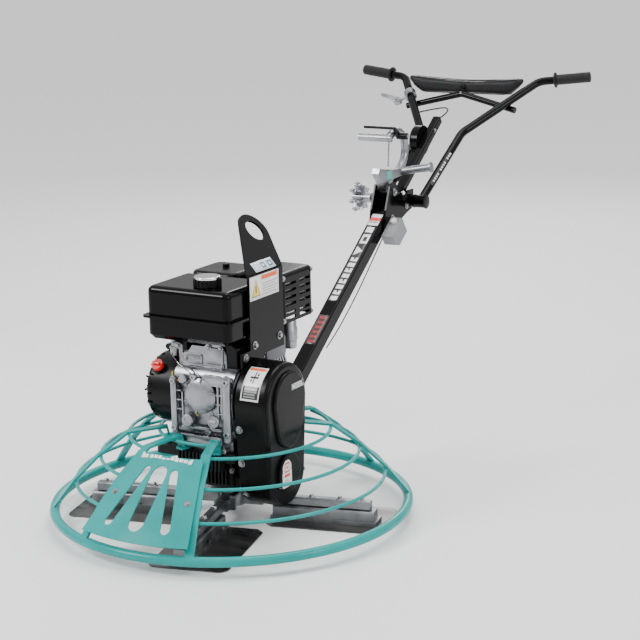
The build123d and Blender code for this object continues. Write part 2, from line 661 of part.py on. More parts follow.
def make_handlebar():
    bar = cyl_x(PIVOT_R, -80, 80, PIVOT_Y, PIVOT_Z)
    for side in (-1, 1):
        x0, x1 = sorted((side * (44 + GAP), side * 80))
        bar += cyl_x(19, x0, x1, PIVOT_Y, PIVOT_Z)
        bar += handlebar_side(side)
    save("handlebar", bar)

    grips = []
    for side in (-1, 1):
        a = on_side(side, GRIP_START)
        b = on_side(side, GRIP_END)
        d = (b - a).normalized()
        flange = extrude(Plane(a - d * 2, z_dir=d) * Circle(GRIP_FLANGE_R), 5)
        sleeve = extrude(Plane(a, z_dir=d) * Circle(GRIP_R), (b - a).length + 6)
        core = rod(tuple(on_side(side, BAR_HIGH)), tuple(b), BAR_R + WELD)
        grips.append(flange + sleeve - core)
    save("grips", Compound(children=grips))

    middle = Vector(*CROSSBAR_MIDDLE)
    ends = [crossbar_end(side, middle) for side in (-1, 1)]
    route = [tuple(ends[0]), tuple(middle), tuple(ends[1])]
    save("crossbar", bent_bar(route, [40], CROSSBAR_R))

    top = ThreePointArc((-PAD_HALF, PAD_TOP), (0, PAD_TOP - PAD_SAG), (PAD_HALF, PAD_TOP))
    sides = Polyline((PAD_HALF, PAD_TOP), (184, 972), (160, PAD_BOTTOM), (-160, PAD_BOTTOM),
                     (-184, 972), (-PAD_HALF, PAD_TOP))
    face = make_face([top, sides])
    pad = extrude(Plane.XZ.offset(-PAD_Y) * face, -PAD_THICK)
    pad = fillet(pad.edges().group_by(Axis.Y)[-1] + pad.edges().group_by(Axis.Y)[0], 9)
    save("belly_pad", pad)


def make_throttle():
    seat = arm_point(-1, 0.66)
    along = (arm_point(-1, 1.0) - arm_point(-1, 0.0)).normalized()
    collar = extrude(Plane(seat - along * 12, z_dir=along) * Circle(19), 24)
    normal = Vector(0, -0.55, 0.835).normalized()
    collar += rod(seat, Vector(*THROTTLE_PIVOT) - normal * 3, 4.5)
    collar += extrude(Plane(THROTTLE_PIVOT, z_dir=normal) * Circle(13), 6, both=True)
    collar -= extrude(Plane(seat - along * 60, z_dir=along) * Circle(BAR_R + WELD), 120)
    save("throttle_clamp", collar)
    frame = Plane(Vector(*THROTTLE_PIVOT) + normal * (6 + WELD), x_dir=(-1, 0, 0), z_dir=normal)
    blade = make_hull((Circle(11) + Pos(62, -20) * Circle(5)).edges())
    save("throttle_lever", extrude(frame * blade, 4))


def make_pitch_handle():
    """Cast handle hinged on the tube: base, C-shaped arm, a grip to each side, a trigger."""
    base = side_outline([(862, 716), (884, 716), (902, 748), (968, 752), (972, 772), (900, 776),
                         (818, 790), (812, 776)], -PITCH_BAR_R, PITCH_BAR_R)
    base += cyl_x(13, -13, 13, PIN_Y, PIN_Z)
    arc = ThreePointArc(PITCH_LOW, PITCH_BACK, PITCH_HIGH)
    path = Plane.YZ * arc
    loop = sweep(Plane(path @ 0, z_dir=path % 0) * Circle(PITCH_BAR_R), path=path)
    handle = base + loop + Pos(0, *PITCH_HIGH) * Sphere(PITCH_BAR_R + 0.5)
    root = (0, PITCH_LOW[0] + 10, PITCH_LOW[1] - 3)
    handle += Pos(*root) * Sphere(PITCH_BAR_R + 0.5) + rod(root, PITCH_TIP, PITCH_BAR_R)
    out = (Vector(*PITCH_TIP) - Vector(*root)).normalized()
    handle += extrude(Plane(Vector(*PITCH_TIP) - out * 2, z_dir=out) * Circle(PITCH_BAR_R + 4), 6)
    handle += cyl_x(PITCH_BAR_R, -97, 8, *PITCH_HIGH)
    handle += cyl_x(TRIGGER_PIN_R, 0, 46, *TRIGGER_PIVOT)
    handle += cyl_x(PIN_R, -30, 30, PIN_Y, PIN_Z)
    save("pitch_handle", handle)

    cheek = PITCH_BAR_R + 0.6
    trigger = cyl_x(10, cheek, 44, *TRIGGER_PIVOT) + cyl_x(4, -84, 20, 906, 897)
    trigger += side_outline([(926, 868), (904, 892), (906, 901), (934, 880)], cheek, 20)
    trigger -= cyl_x(TRIGGER_PIN_R + FIT, 0, 60, *TRIGGER_PIVOT)
    save("pitch_trigger", trigger)


def make_handle_details():
    knob = cyl_x(15, -160, -101, PIVOT_Y, PIVOT_Z) + cyl_x(6, -168, -159, PIVOT_Y, PIVOT_Z)
    for i in range(KNOB_LOBES):
        fin = Pos(-140, 0, 24) * Box(30, 7, 26) + Pos(-148, 0, 36) * Rot(0, 90, 0) * Cylinder(5, 22)
        fin += Pos(-148, 0, 40) * Sphere(6.5)
        knob += Pos(0, PIVOT_Y, PIVOT_Z) * Rot(360 / KNOB_LOBES * i, 0, 0) * fin
    knob += cyl_x(7, -101, -80 - GAP, PIVOT_Y, PIVOT_Z)
    save("star_knob", knob)

    frame = in_tube_frame(836, -8)
    stop_x = TUBE_SIDE / 2 + CHEEK_THICK + 3 * WELD + 18
    stop = Box(78, 36, 54)
    stop = chamfer(stop.edges().filter_by(Axis.Y).sort_by(Axis.Z)[:1], 20)
    stop = Pos(-14, 0, -26) * stop - Pos(6, 0, -11) * extrude(Circle(9 + FIT), 20)
    save("stop_box", Pos(stop_x, 0, 0) * (frame * stop))
    button = Pos(6, 0, -4) * extrude(Circle(9), 14)
    save("stop_button", Pos(stop_x, 0, 0) * (frame * button))

    drum = cyl_x(46, -40, -MAST_SIDE / 2 - WELD, 1150, 830)
    drum = fillet(drum.faces().sort_by(Axis.X)[0].edges(), 8)
    tail = side_outline([(1125, 800), (1165, 845), (1060, 775), (1010, 728), (1020, 716)],
                        -30, -MAST_SIDE / 2 - WELD)
    save("drum_cover", drum + tail)


# ---------------------------------------------------------------- cords and starter
def make_cables():
    grip = cyl_y(8, ROPE_Y - 34, ROPE_Y + 34, ROPE_X, ROPE_GRIP_Z + 8)
    grip += cyl_z(7, ROPE_GRIP_Z, ROPE_GRIP_Z + 8, ROPE_X, ROPE_Y)
    save("recoil_grip", grip)
    save("recoil_rope", cyl_z(2.5, ROPE_HOLE_Z + 1, ROPE_GRIP_Z - WELD, ROPE_X, ROPE_Y))

    throttle_route = [(-166, 1398, 880), (-110, 1400, 893), (-50, 1380, 905), (-12, 1330, 905),
                      (0, 1270, 893), (0, 1226, 886)]
    save("throttle_cable", bent_bar(throttle_route, bend_radii(throttle_route), 2.5))
    pitch_route = [(0, 420, 298), (0, 372, 250), (0, 310, 190), (0, 240, 135), (0, 175, 104),
                   (0, 119, 88)]
    save("pitch_cable", bent_bar(pitch_route, bend_radii(pitch_route), 3))


def bend_radii(points):
    """Largest tangent arc at each corner: 0.45 of the shorter run over tan(half turn)."""
    radii = []
    for before, corner, after in zip(points, points[1:], points[2:]):
        a = Vector(*corner) - Vector(*before)
        b = Vector(*after) - Vector(*corner)
        turn = math.radians(a.get_angle(b))
        radii.append(0.45 * min(a.length, b.length) / math.tan(turn / 2))
    print("bend radii", [round(r) for r in radii])
    return radii


# ---------------------------------------------------------------- run
make_guard()
make_shield()
make_gearbox()
make_drive()
make_belt_guard()
make_rotor()
make_fork()
make_engine()
make_tank()
make_engine_top()
make_bail()
make_handle()
make_handlebar()
make_throttle()
make_pitch_handle()
make_handle_details()
make_cables()

for name, shape in parts.items():
    export_step(shape, f"parts/{name}.step")
print(len(parts), "nodes")
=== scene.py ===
import json
import math

import bmesh
import bpy
from mathutils import Matrix, Vector


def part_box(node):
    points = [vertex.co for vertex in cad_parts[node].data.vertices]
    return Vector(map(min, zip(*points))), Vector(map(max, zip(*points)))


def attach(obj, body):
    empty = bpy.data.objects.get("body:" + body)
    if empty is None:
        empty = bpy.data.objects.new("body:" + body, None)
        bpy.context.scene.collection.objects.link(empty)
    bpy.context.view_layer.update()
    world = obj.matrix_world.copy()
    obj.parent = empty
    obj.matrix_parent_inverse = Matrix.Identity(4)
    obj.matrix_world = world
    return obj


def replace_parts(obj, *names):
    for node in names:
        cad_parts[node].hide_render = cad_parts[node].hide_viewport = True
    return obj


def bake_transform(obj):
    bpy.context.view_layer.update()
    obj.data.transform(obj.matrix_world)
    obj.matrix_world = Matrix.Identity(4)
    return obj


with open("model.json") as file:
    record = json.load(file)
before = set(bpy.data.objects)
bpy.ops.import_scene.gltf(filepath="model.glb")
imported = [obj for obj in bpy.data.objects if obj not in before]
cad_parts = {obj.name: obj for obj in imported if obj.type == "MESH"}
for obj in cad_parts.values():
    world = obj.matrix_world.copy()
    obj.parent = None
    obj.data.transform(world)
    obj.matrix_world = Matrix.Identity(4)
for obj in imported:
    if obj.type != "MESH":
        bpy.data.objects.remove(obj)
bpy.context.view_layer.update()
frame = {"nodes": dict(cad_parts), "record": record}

# Looks of the walk-behind power trowel.  Lengths in the tables below are millimetres from
# the rotor axis, which is the middle of the guard ring; at() turns them into metres.
NODES = frame["nodes"]
MM = 0.001
LIFT = 0.0003            # how far a label stands off its surface

ring_low, ring_high = (Vector(corner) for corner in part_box("guard_ring"))
ROTOR = (ring_low + ring_high) / 2
ROTOR.z = 0.0


def at(x, y, z):
    """Point given in millimetres from the rotor axis, in metres in the row frame."""
    return ROTOR + Vector((x, y, z)) * MM


# ------------------------------------------------------------------ camera and light
CAMERA_PLACE = (2400.4, -3715.7, 1549.4)
CAMERA_YAW = math.radians(29.799)
CAMERA_DOWN = math.radians(13.229)
CAMERA_ROLL = math.radians(-1.0817)
CAMERA_LENS = 100.56
SKY_LOW = 0.38            # light from the horizon and from overhead
SKY_HIGH = 1.25


def make_camera():
    yaw, down, roll = CAMERA_YAW, CAMERA_DOWN, CAMERA_ROLL
    ahead = Vector((-math.sin(yaw) * math.cos(down), math.cos(yaw) * math.cos(down),
                    -math.sin(down)))
    level = Vector((math.cos(yaw), math.sin(yaw), 0.0))
    above = level.cross(ahead)
    right = math.cos(roll) * level + math.sin(roll) * above
    up = math.cos(roll) * above - math.sin(roll) * level
    data = bpy.data.cameras.new("camera")
    data.sensor_width = 36.0
    data.lens = CAMERA_LENS
    data.clip_end = 200.0
    camera = bpy.data.objects.new("camera", data)
    camera.matrix_world = Matrix.Translation(at(*CAMERA_PLACE)) @ Matrix(
        (right, up, -ahead)).transposed().to_4x4()
    bpy.context.scene.collection.objects.link(camera)
    bpy.context.scene.camera = camera


def make_light(name, place, power, size, colour=(1.0, 1.0, 1.0)):
    data = bpy.data.lights.new(name, "AREA")
    data.energy = power
    data.size = size
    data.color = colour
    lamp = bpy.data.objects.new(name, data)
    lamp.location = Vector(place)
    lamp.rotation_euler = (Vector((0, 0, 0.35)) - lamp.location).to_track_quat("-Z", "Y").to_euler()
    bpy.context.scene.collection.objects.link(lamp)


def make_studio():
    world = bpy.data.worlds.new("studio")
    world.use_nodes = True
    tree = world.node_tree
    back = tree.nodes["Background"]
    back.inputs["Color"].default_value = (1.0, 1.0, 1.0, 1.0)
    way = add(tree, "ShaderNodeTexCoord")
    split = add(tree, "ShaderNodeSeparateXYZ")
    tree.links.new(way.outputs["Generated"], split.inputs["Vector"])
    height = scaled(tree, split.outputs["Z"], SKY_LOW, SKY_HIGH, 0.05, 0.55)
    tree.links.new(height, back.inputs["Strength"])
    bpy.context.scene.world = world
    make_light("key", (-2.4, -3.2, 3.2), 150.0, 1.3)
    make_light("fill", (4.4, -1.0, 2.2), 70.0, 1.2)
    make_light("top", (0.2, 0.6, 4.2), 90.0, 2.4)
    make_light("back", (-1.5, 4.0, 2.4), 50.0, 1.6)
    bm = bmesh.new()
    bmesh.ops.create_grid(bm, x_segments=8, y_segments=8, size=60.0)
    floor = link_mesh("floor", bm)
    look, tree, shader = new_look("floor_look")
    noise = add(tree, "ShaderNodeTexNoise", Scale=1.5, Detail=2.0)
    ramp = add(tree, "ShaderNodeMapRange")
    ramp.inputs["To Min"].default_value = 0.55
    ramp.inputs["To Max"].default_value = 0.6
    tree.links.new(noise.outputs["Fac"], ramp.inputs["Value"])
    tree.links.new(ramp.outputs["Result"], shader.inputs["Roughness"])
    shader.inputs["Base Color"].default_value = (0.86, 0.86, 0.86, 1.0)
    floor.data.materials.append(look)


# ------------------------------------------------------------------ mesh helpers
def link_mesh(name, bm):
    mesh = bpy.data.meshes.new(name)
    bm.normal_update()
    bm.to_mesh(mesh)
    bm.free()
    thing = bpy.data.objects.new(name, mesh)
    bpy.context.scene.collection.objects.link(thing)
    return thing


def finish_piece(thing, body, slot, look=None, sharp=40.0):
    """Shade, colour and hang a piece on its body."""
    if thing.type == "MESH":
        thing.data.shade_smooth()
        thing.data.set_sharp_from_angle(angle=math.radians(sharp))
    thing.data.materials.clear()
    thing.data.materials.append(look or LOOKS[slot])
    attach(thing, body)
    return thing


def facing(origin, normal, up=(0, 0, 1)):
    """Frame at origin with local Z along normal and local Y near up."""
    z = Vector(normal).normalized()
    up = Vector(up)
    if abs(z.dot(up.normalized())) > 0.98:
        up = Vector((0, 1, 0))
    x = up.cross(z).normalized()
    y = z.cross(x)
    return Matrix.Translation(origin) @ Matrix((x, y, z)).transposed().to_4x4()


def lathe_into(bm, profile, place, steps=28):
    """Solid of revolution: (radius, height) pairs in millimetres about the frame's Z."""
    rings = []
    for radius, height in profile:
        ring = []
        for i in range(steps):
            a = 2 * math.pi * i / steps
            ring.append(bm.verts.new(place @ (Vector((radius * math.cos(a),
                                                      radius * math.sin(a), height)) * MM)))
        rings.append(ring)
    for low, high in zip(rings, rings[1:]):
        for i in range(steps):
            j = (i + 1) % steps
            bm.faces.new((low[i], low[j], high[j], high[i]))
    bm.faces.new(list(reversed(rings[0])))
    bm.faces.new(rings[-1])


def bolt_into(bm, place, size):
    """Washer and chamfered hexagon head, size is half the head's width across corners."""
    washer = [(size * 1.55, 0.0), (size * 1.55, size * 0.18), (size * 1.45, size * 0.24),
              (size * 0.9, size * 0.24)]
    lathe_into(bm, washer, place, 24)
    head = [(size, size * 0.22), (size, size * 0.8), (size * 0.86, size * 0.95)]
    lathe_into(bm, head, place, 6)
    lathe_into(bm, [(size * 0.8, size * 0.94), (size * 0.72, size * 1.02)], place, 20)


def slab_into(bm, place, width, height, thick, round_off=2.0):
    """Rounded plate standing on the frame's XY plane, centred."""
    steps = 4
    corner = min(round_off * 2.2, width / 2.2, height / 2.2)
    levels = [(0.0, 0.0), (thick - round_off, 0.0), (thick - round_off * 0.3, round_off * 0.3),
              (thick, round_off)]
    rings = []
    for level, inset in levels:
        ring = []
        for cx, cy, start in ((1, 1, 0), (-1, 1, 90), (-1, -1, 180), (1, -1, 270)):
            for i in range(steps + 1):
                a = math.radians(start + 90.0 * i / steps)
                r = max(corner - inset, 0.05)
                x = cx * (width / 2 - corner) + r * math.cos(a)
                y = cy * (height / 2 - corner) + r * math.sin(a)
                ring.append(bm.verts.new(place @ (Vector((x, y, level)) * MM)))
        rings.append(ring)
    count = len(rings[0])
    for low, high in zip(rings, rings[1:]):
        for i in range(count):
            j = (i + 1) % count
            bm.faces.new((low[i], low[j], high[j], high[i]))
    bm.faces.new(list(reversed(rings[0])))
    bm.faces.new(rings[-1])


def prism_into(bm, outline, y0, y1):
    """Prism of an outline in (x, z) millimetres between two y values, a little chamfered."""
    centre_x = sum(p[0] for p in outline) / len(outline)
    centre_z = sum(p[1] for p in outline) / len(outline)
    rings = []
    for y, share in ((y0, 0.965), (y0 + 2.0, 1.0), (y1, 1.0)):
        rings.append([bm.verts.new(at(centre_x + (x - centre_x) * share, y,
                                      centre_z + (z - centre_z) * share)) for x, z in outline])
    count = len(outline)
    for low, high in zip(rings, rings[1:]):
        for i in range(count):
            j = (i + 1) % count
            bm.faces.new((low[i], low[j], high[j], high[i]))
    bm.faces.new(list(reversed(rings[0])))
    bm.faces.new(rings[-1])
    bmesh.ops.recalc_face_normals(bm, faces=bm.faces)


def tube(name, points, radius, body, slot, look=None, order=3, sides=4):
    """Round cord or bar along a smooth curve through millimetre points, as a bevelled curve."""
    data = bpy.data.curves.new(name, "CURVE")
    data.dimensions = "3D"
    data.bevel_depth = radius * MM
    data.bevel_resolution = sides
    data.use_fill_caps = True
    data.resolution_u = 10
    spline = data.splines.new("NURBS")
    spline.points.add(len(points) - 1)
    for target, point in zip(spline.points, points):
        target.co = (*at(*point), 1.0)
    spline.order_u = order
    spline.use_endpoint_u = True
    thing = bpy.data.objects.new(name, data)
    bpy.context.scene.collection.objects.link(thing)
    return finish_piece(thing, body, slot, look)


def on_surface(node, start, direction):
    """First hit of a ray on a CAD node: (point, outward normal)."""
    direction = Vector(direction).normalized()
    found, point, normal, _ = NODES[node].ray_cast(start, direction)
    if not found:
        return None
    if normal.dot(direction) > 0:
        normal = -normal
    return point, normal


# ------------------------------------------------------------------ materials
def new_look(name):
    look = bpy.data.materials.new(name)
    look.use_nodes = True
    return look, look.node_tree, look.node_tree.nodes["Principled BSDF"]


def add(tree, kind, **values):
    node = tree.nodes.new(kind)
    for key, value in values.items():
        if key[0].islower():
            setattr(node, key, value)
        else:
            node.inputs[key].default_value = value
    return node


def blend_colour(tree, factor, low, high):
    """Mix node between two colours or sockets; returns its output."""
    mix = add(tree, "ShaderNodeMix", data_type="RGBA")
    for index, value in ((6, low), (7, high)):
        if isinstance(value, bpy.types.NodeSocket):
            tree.links.new(value, mix.inputs[index])
        else:
            mix.inputs[index].default_value = (*value, 1.0)
    tree.links.new(factor, mix.inputs[0])
    return mix.outputs[2]


def scaled(tree, socket, low, high, from_low=0.35, from_high=0.65):
    node = add(tree, "ShaderNodeMapRange")
    for key, value in (("From Min", from_low), ("From Max", from_high), ("To Min", low),
                       ("To Max", high)):
        node.inputs[key].default_value = value
    tree.links.new(socket, node.inputs["Value"])
    return node.outputs["Result"]


def surface(name, colour, rough, metal=0.0, coat=0.0, vary=0.15, patch=9.0, grain=450.0,
            bump=0.12, depth=0.3, spread=0.08, stretch=(1, 1, 1), edge=None, pits=0.0,
            shine=0.5):
    """Procedural look: blotchy colour, uneven gloss, fine grain and optional lighter edges, partly
    wear and partly a painted highlight.
    """
    look, tree, shader = new_look(name)
    link = tree.links.new
    coords = add(tree, "ShaderNodeTexCoord")
    place = add(tree, "ShaderNodeMapping", Scale=stretch)
    link(coords.outputs["Object"], place.inputs["Vector"])
    big = add(tree, "ShaderNodeTexNoise", Scale=patch, Detail=5.0)
    fine = add(tree, "ShaderNodeTexNoise", Scale=grain, Detail=3.0)
    link(place.outputs["Vector"], big.inputs["Vector"])
    link(place.outputs["Vector"], fine.inputs["Vector"])
    dark = tuple(c * (1 - vary) for c in colour)
    light = tuple(min(1.0, c * (1 + vary)) for c in colour)
    tint = blend_colour(tree, scaled(tree, big.outputs["Fac"], 0.0, 1.0), dark, light)
    if edge:
        # Edges found with the bevel normal get a lighter colour: partly edge wear, partly a painted
        # highlight on the edges.
        wear_and_sheen_colour, amount = edge
        bevel = add(tree, "ShaderNodeBevel", samples=4)
        bevel.inputs["Radius"].default_value = 0.0016
        geometry = add(tree, "ShaderNodeNewGeometry")
        dot = add(tree, "ShaderNodeVectorMath", operation="DOT_PRODUCT")
        link(bevel.outputs["Normal"], dot.inputs[0])
        link(geometry.outputs["Normal"], dot.inputs[1])
        wear_and_sheen_edges = scaled(tree, dot.outputs["Value"], amount, 0.0, 0.80, 0.97)
        patchy_wear_and_sheen = add(tree, "ShaderNodeMath", operation="MULTIPLY")
        link(wear_and_sheen_edges, patchy_wear_and_sheen.inputs[0])
        link(scaled(tree, big.outputs["Fac"], 0.1, 1.0, 0.42, 0.62), patchy_wear_and_sheen.inputs[1])
        tint = blend_colour(tree, patchy_wear_and_sheen.outputs["Value"], tint, wear_and_sheen_colour)
    link(tint, shader.inputs["Base Color"])
    link(scaled(tree, big.outputs["Fac"], rough - spread, rough + spread),
         shader.inputs["Roughness"])
    height = fine.outputs["Fac"]
    if pits:
        cells = add(tree, "ShaderNodeTexVoronoi", Scale=pits)
        link(place.outputs["Vector"], cells.inputs["Vector"])
        both = add(tree, "ShaderNodeMath", operation="ADD")
        link(height, both.inputs[0])
        link(cells.outputs["Distance"], both.inputs[1])
        height = both.outputs["Value"]
    relief = add(tree, "ShaderNodeBump", Strength=bump, Distance=depth * MM)
    link(height, relief.inputs["Height"])
    link(relief.outputs["Normal"], shader.inputs["Normal"])
    shader.inputs["Metallic"].default_value = metal
    shader.inputs["Specular IOR Level"].default_value = shine
    shader.inputs["Coat Weight"].default_value = coat
    shader.inputs["Coat Roughness"].default_value = 0.05
    return look


# edge=(colour, amount) sets a lighter edge colour: partly wear, partly a painted edge highlight.
LOOKS = {
    "paint_teal": surface("teal_enamel", (0.005, 0.270, 0.255), 0.30, coat=0.06, vary=0.08,
                          grain=260.0, bump=0.06, edge=((0.05, 0.46, 0.43), 0.45),
                          shine=0.2),
    "paint_black_gloss": surface("black_gloss", (0.0014, 0.0014, 0.0016), 0.15, vary=0.2,
                                 grain=220.0, bump=0.03, spread=0.05,
                                 edge=((0.016, 0.016, 0.017), 0.6), shine=0.12),
    "paint_black_satin": surface("black_satin", (0.0022, 0.0022, 0.0024), 0.28, vary=0.2,
                                 grain=700.0, bump=0.08, edge=((0.022, 0.022, 0.023), 0.6),
                                 shine=0.13),
    "gearbox_black": surface("black_casting", (0.0055, 0.0055, 0.006), 0.42, vary=0.35,
                             grain=380.0, bump=0.35, pits=160.0,
                             edge=((0.05, 0.05, 0.052), 0.7), shine=0.2),
    "shaft_steel": surface("turned_steel", (0.34, 0.34, 0.35), 0.28, metal=1.0, vary=0.12,
                           grain=900.0, bump=0.08, stretch=(1, 1, 6)),
    "bronze": surface("gear_bronze", (0.62, 0.40, 0.17), 0.35, metal=1.0),
    "pulley_iron": surface("pulley_iron", (0.20, 0.20, 0.205), 0.42, metal=1.0, pits=200.0),
    "hub_iron": surface("zinc_iron", (0.27, 0.275, 0.29), 0.38, metal=1.0, vary=0.28,
                        patch=26.0, grain=520.0, bump=0.22, pits=240.0,
                        edge=((0.55, 0.56, 0.58), 0.6)),
    "belt_rubber": surface("belt_rubber", (0.013, 0.013, 0.013), 0.7, bump=0.3),
    "cast_alloy": surface("cast_aluminium", (0.295, 0.30, 0.32), 0.34, metal=1.0, vary=0.22,
                          patch=22.0, grain=620.0, bump=0.30, pits=300.0,
                          edge=((0.66, 0.67, 0.69), 0.8)),
    "black_plastic": surface("black_plastic", (0.0028, 0.0028, 0.0032), 0.30, vary=0.2,
                             grain=1100.0, bump=0.14, edge=((0.022, 0.022, 0.023), 0.5),
                             shine=0.15),
    "grey_plastic": surface("grey_plastic", (0.22, 0.225, 0.24), 0.45, grain=900.0, bump=0.15),
    "pale_plastic": surface("pale_plastic", (0.72, 0.66, 0.64), 0.35, grain=900.0, bump=0.1),
    "red_plastic": surface("red_plastic", (0.62, 0.018, 0.016), 0.28, coat=0.3, vary=0.1,
                           grain=800.0, bump=0.08),
    "chrome_cap": surface("chromed_cap", (0.82, 0.83, 0.84), 0.12, metal=1.0, vary=0.05,
                          bump=0.03, spread=0.04),
    "grip_rubber": surface("grip_rubber", (0.0065, 0.0065, 0.0072), 0.60, grain=900.0, bump=0.3,
                           shine=0.3),
    "pad_vinyl": surface("pad_vinyl", (0.0055, 0.0055, 0.0066), 0.46, vary=0.3, patch=14.0,
                         grain=900.0, bump=0.4, pits=520.0, depth=0.4, shine=0.3),
    "cable_black": surface("cable_sheath", (0.012, 0.012, 0.012), 0.42, grain=900.0,
                           bump=0.15),
    "rope_fibre": surface("starter_rope", (0.10, 0.10, 0.10), 0.85, grain=1400.0, bump=0.7,
                          stretch=(1, 1, 3)),
    "blade_steel": surface("blade_steel", (0.13, 0.122, 0.118), 0.33, metal=1.0, vary=0.35,
                           patch=5.0, grain=700.0, bump=0.12, stretch=(1, 5, 1), spread=0.12,
                           edge=((0.5, 0.5, 0.5), 0.5)),
}


def paint_cad():
    """Give every CAD node the look of its material slot."""
    for part in frame["record"]["subparts"]:
        node = NODES[part["node"]]
        node.data.materials.clear()
        slot = "hub_iron" if part["node"].startswith("blade_bar") else part["material_slot"]
        node.data.materials.append(LOOKS[slot])


def wedge_mask(tree, split, u0, v0, u1, v1):
    """1 inside an upright triangle that fills the rectangle."""
    off = add(tree, "ShaderNodeMath", operation="SUBTRACT")
    tree.links.new(split.outputs["X"], off.inputs[0])
    off.inputs[1].default_value = (u0 + u1) / 2
    away = add(tree, "ShaderNodeMath", operation="ABSOLUTE")
    tree.links.new(off.outputs["Value"], away.inputs[0])
    reach = scaled(tree, split.outputs["Y"], (u1 - u0) / 2, 0.0, v0, v1)
    test = add(tree, "ShaderNodeMath", operation="LESS_THAN")
    tree.links.new(away.outputs["Value"], test.inputs[0])
    tree.links.new(reach, test.inputs[1])
    return test.outputs["Value"]


def art_look(name, ground, marks, rough=0.35, gloss=0.3):
    """Printed label: rectangles of colour over a ground, placed in the label's own UV."""
    look, tree, shader = new_look(name)
    link = tree.links.new
    coords = add(tree, "ShaderNodeTexCoord")
    split = add(tree, "ShaderNodeSeparateXYZ")
    link(coords.outputs["UV"], split.inputs["Vector"])
    paper = add(tree, "ShaderNodeTexNoise", Scale=60.0, Detail=3.0)
    link(coords.outputs["UV"], paper.inputs["Vector"])
    tint = blend_colour(tree, scaled(tree, paper.outputs["Fac"], 0.0, 1.0),
                        tuple(c * 0.94 for c in ground), ground)
    for u0, v0, u1, v1, colour, *peaked in marks:
        mask = None
        if peaked:
            mask = wedge_mask(tree, split, u0, v0, u1, v1)
        for output, low, high in (("X", u0, u1), ("Y", v0, v1)):
            for operation, limit in (("GREATER_THAN", low), ("LESS_THAN", high)):
                test = add(tree, "ShaderNodeMath", operation=operation)
                link(split.outputs[output], test.inputs[0])
                test.inputs[1].default_value = limit
                if mask is None:
                    mask = test.outputs["Value"]
                    continue
                both = add(tree, "ShaderNodeMath", operation="MULTIPLY")
                link(mask, both.inputs[0])
                link(test.outputs["Value"], both.inputs[1])
                mask = both.outputs["Value"]
        tint = blend_colour(tree, mask, tint, colour)
    link(tint, shader.inputs["Base Color"])
    link(scaled(tree, paper.outputs["Fac"], rough - 0.05, rough + 0.05),
         shader.inputs["Roughness"])
    shader.inputs["Coat Weight"].default_value = gloss
    return look


def decal(name, node, body, centre, inward, up, size, look, grid=(14, 14), slot=None,
          keep=None):
    """Thin label laid on a CAD surface by rays along inward; size is width, height in mm."""
    width, height = size
    inward = Vector(inward).normalized()
    up = Vector(up)
    up = (up - inward * up.dot(inward)).normalized()
    right = inward.cross(up).normalized()
    start = at(*centre) - inward * 0.12
    bm = bmesh.new()
    uv = bm.loops.layers.uv.new("UVMap")
    across, along = grid
    verts = {}
    for i in range(across + 1):
        for j in range(along + 1):
            u = i / across
            v = j / along
            if keep and not keep(u, v):
                continue
            offset = right * (u - 0.5) * width * MM + up * (v - 0.5) * height * MM
            hit = on_surface(node, start + offset, inward)
            if hit:
                verts[i, j] = bm.verts.new(hit[0] - inward * LIFT)
    for i in range(across):
        for j in range(along):
            corners = ((i, j), (i + 1, j), (i + 1, j + 1), (i, j + 1))
            if not all(c in verts for c in corners):
                continue
            face = bm.faces.new([verts[c] for c in corners])
            if face.normal.dot(inward) > 0:
                face.normal_flip()
            for loop in face.loops:
                for key, vert in verts.items():
                    if vert == loop.vert:
                        loop[uv].uv = (key[0] / across, key[1] / along)
                        break
    bm.normal_update()
    for face in bm.faces:
        if face.normal.dot(inward) > 0:
            face.normal_flip()
    thing = link_mesh(name, bm)
    skin = thing.modifiers.new("skin", "SOLIDIFY")
    skin.thickness = 0.0002
    skin.offset = 0.0
    return finish_piece(thing, body, slot or SLOT_OF[node], look)


SLOT_OF = {part["node"]: part["material_slot"] for part in frame["record"]["subparts"]}


# ------------------------------------------------------------------ fasteners
def fasteners(name, body, items, slot="shaft_steel"):
    """Bolts as one piece: items are (node, start point mm, direction, size)."""
    bm = bmesh.new()
    for node, start, direction, size in items:
        hit = on_surface(node, at(*start), direction)
        if hit:
            bolt_into(bm, facing(hit[0], hit[1]), size)
    return finish_piece(link_mesh(name, bm), body, slot, sharp=30.0)


BLADE_PHASE = 13.6        # azimuth of the first trowel arm, in degrees
TUBE_LEAN = 35.5          # slope of the handle tube, in degrees
TUBE_RISE = 0.7133        # the same slope as a ratio
SHAFT_Z = 340.0           # height of the engine's crankshaft
RECOIL_Y = -48.0
RECOIL_BOLTS = 78.0       # radius of the starter housing's bolt circle


def polar(radius, azimuth, z):
    a = math.radians(azimuth)
    return radius * math.cos(a), radius * math.sin(a), z


def tube_height(y):
    """Height of the handle tube's axis at y, in millimetres."""
    return 466.0 + (y - 600.0) * TUBE_RISE


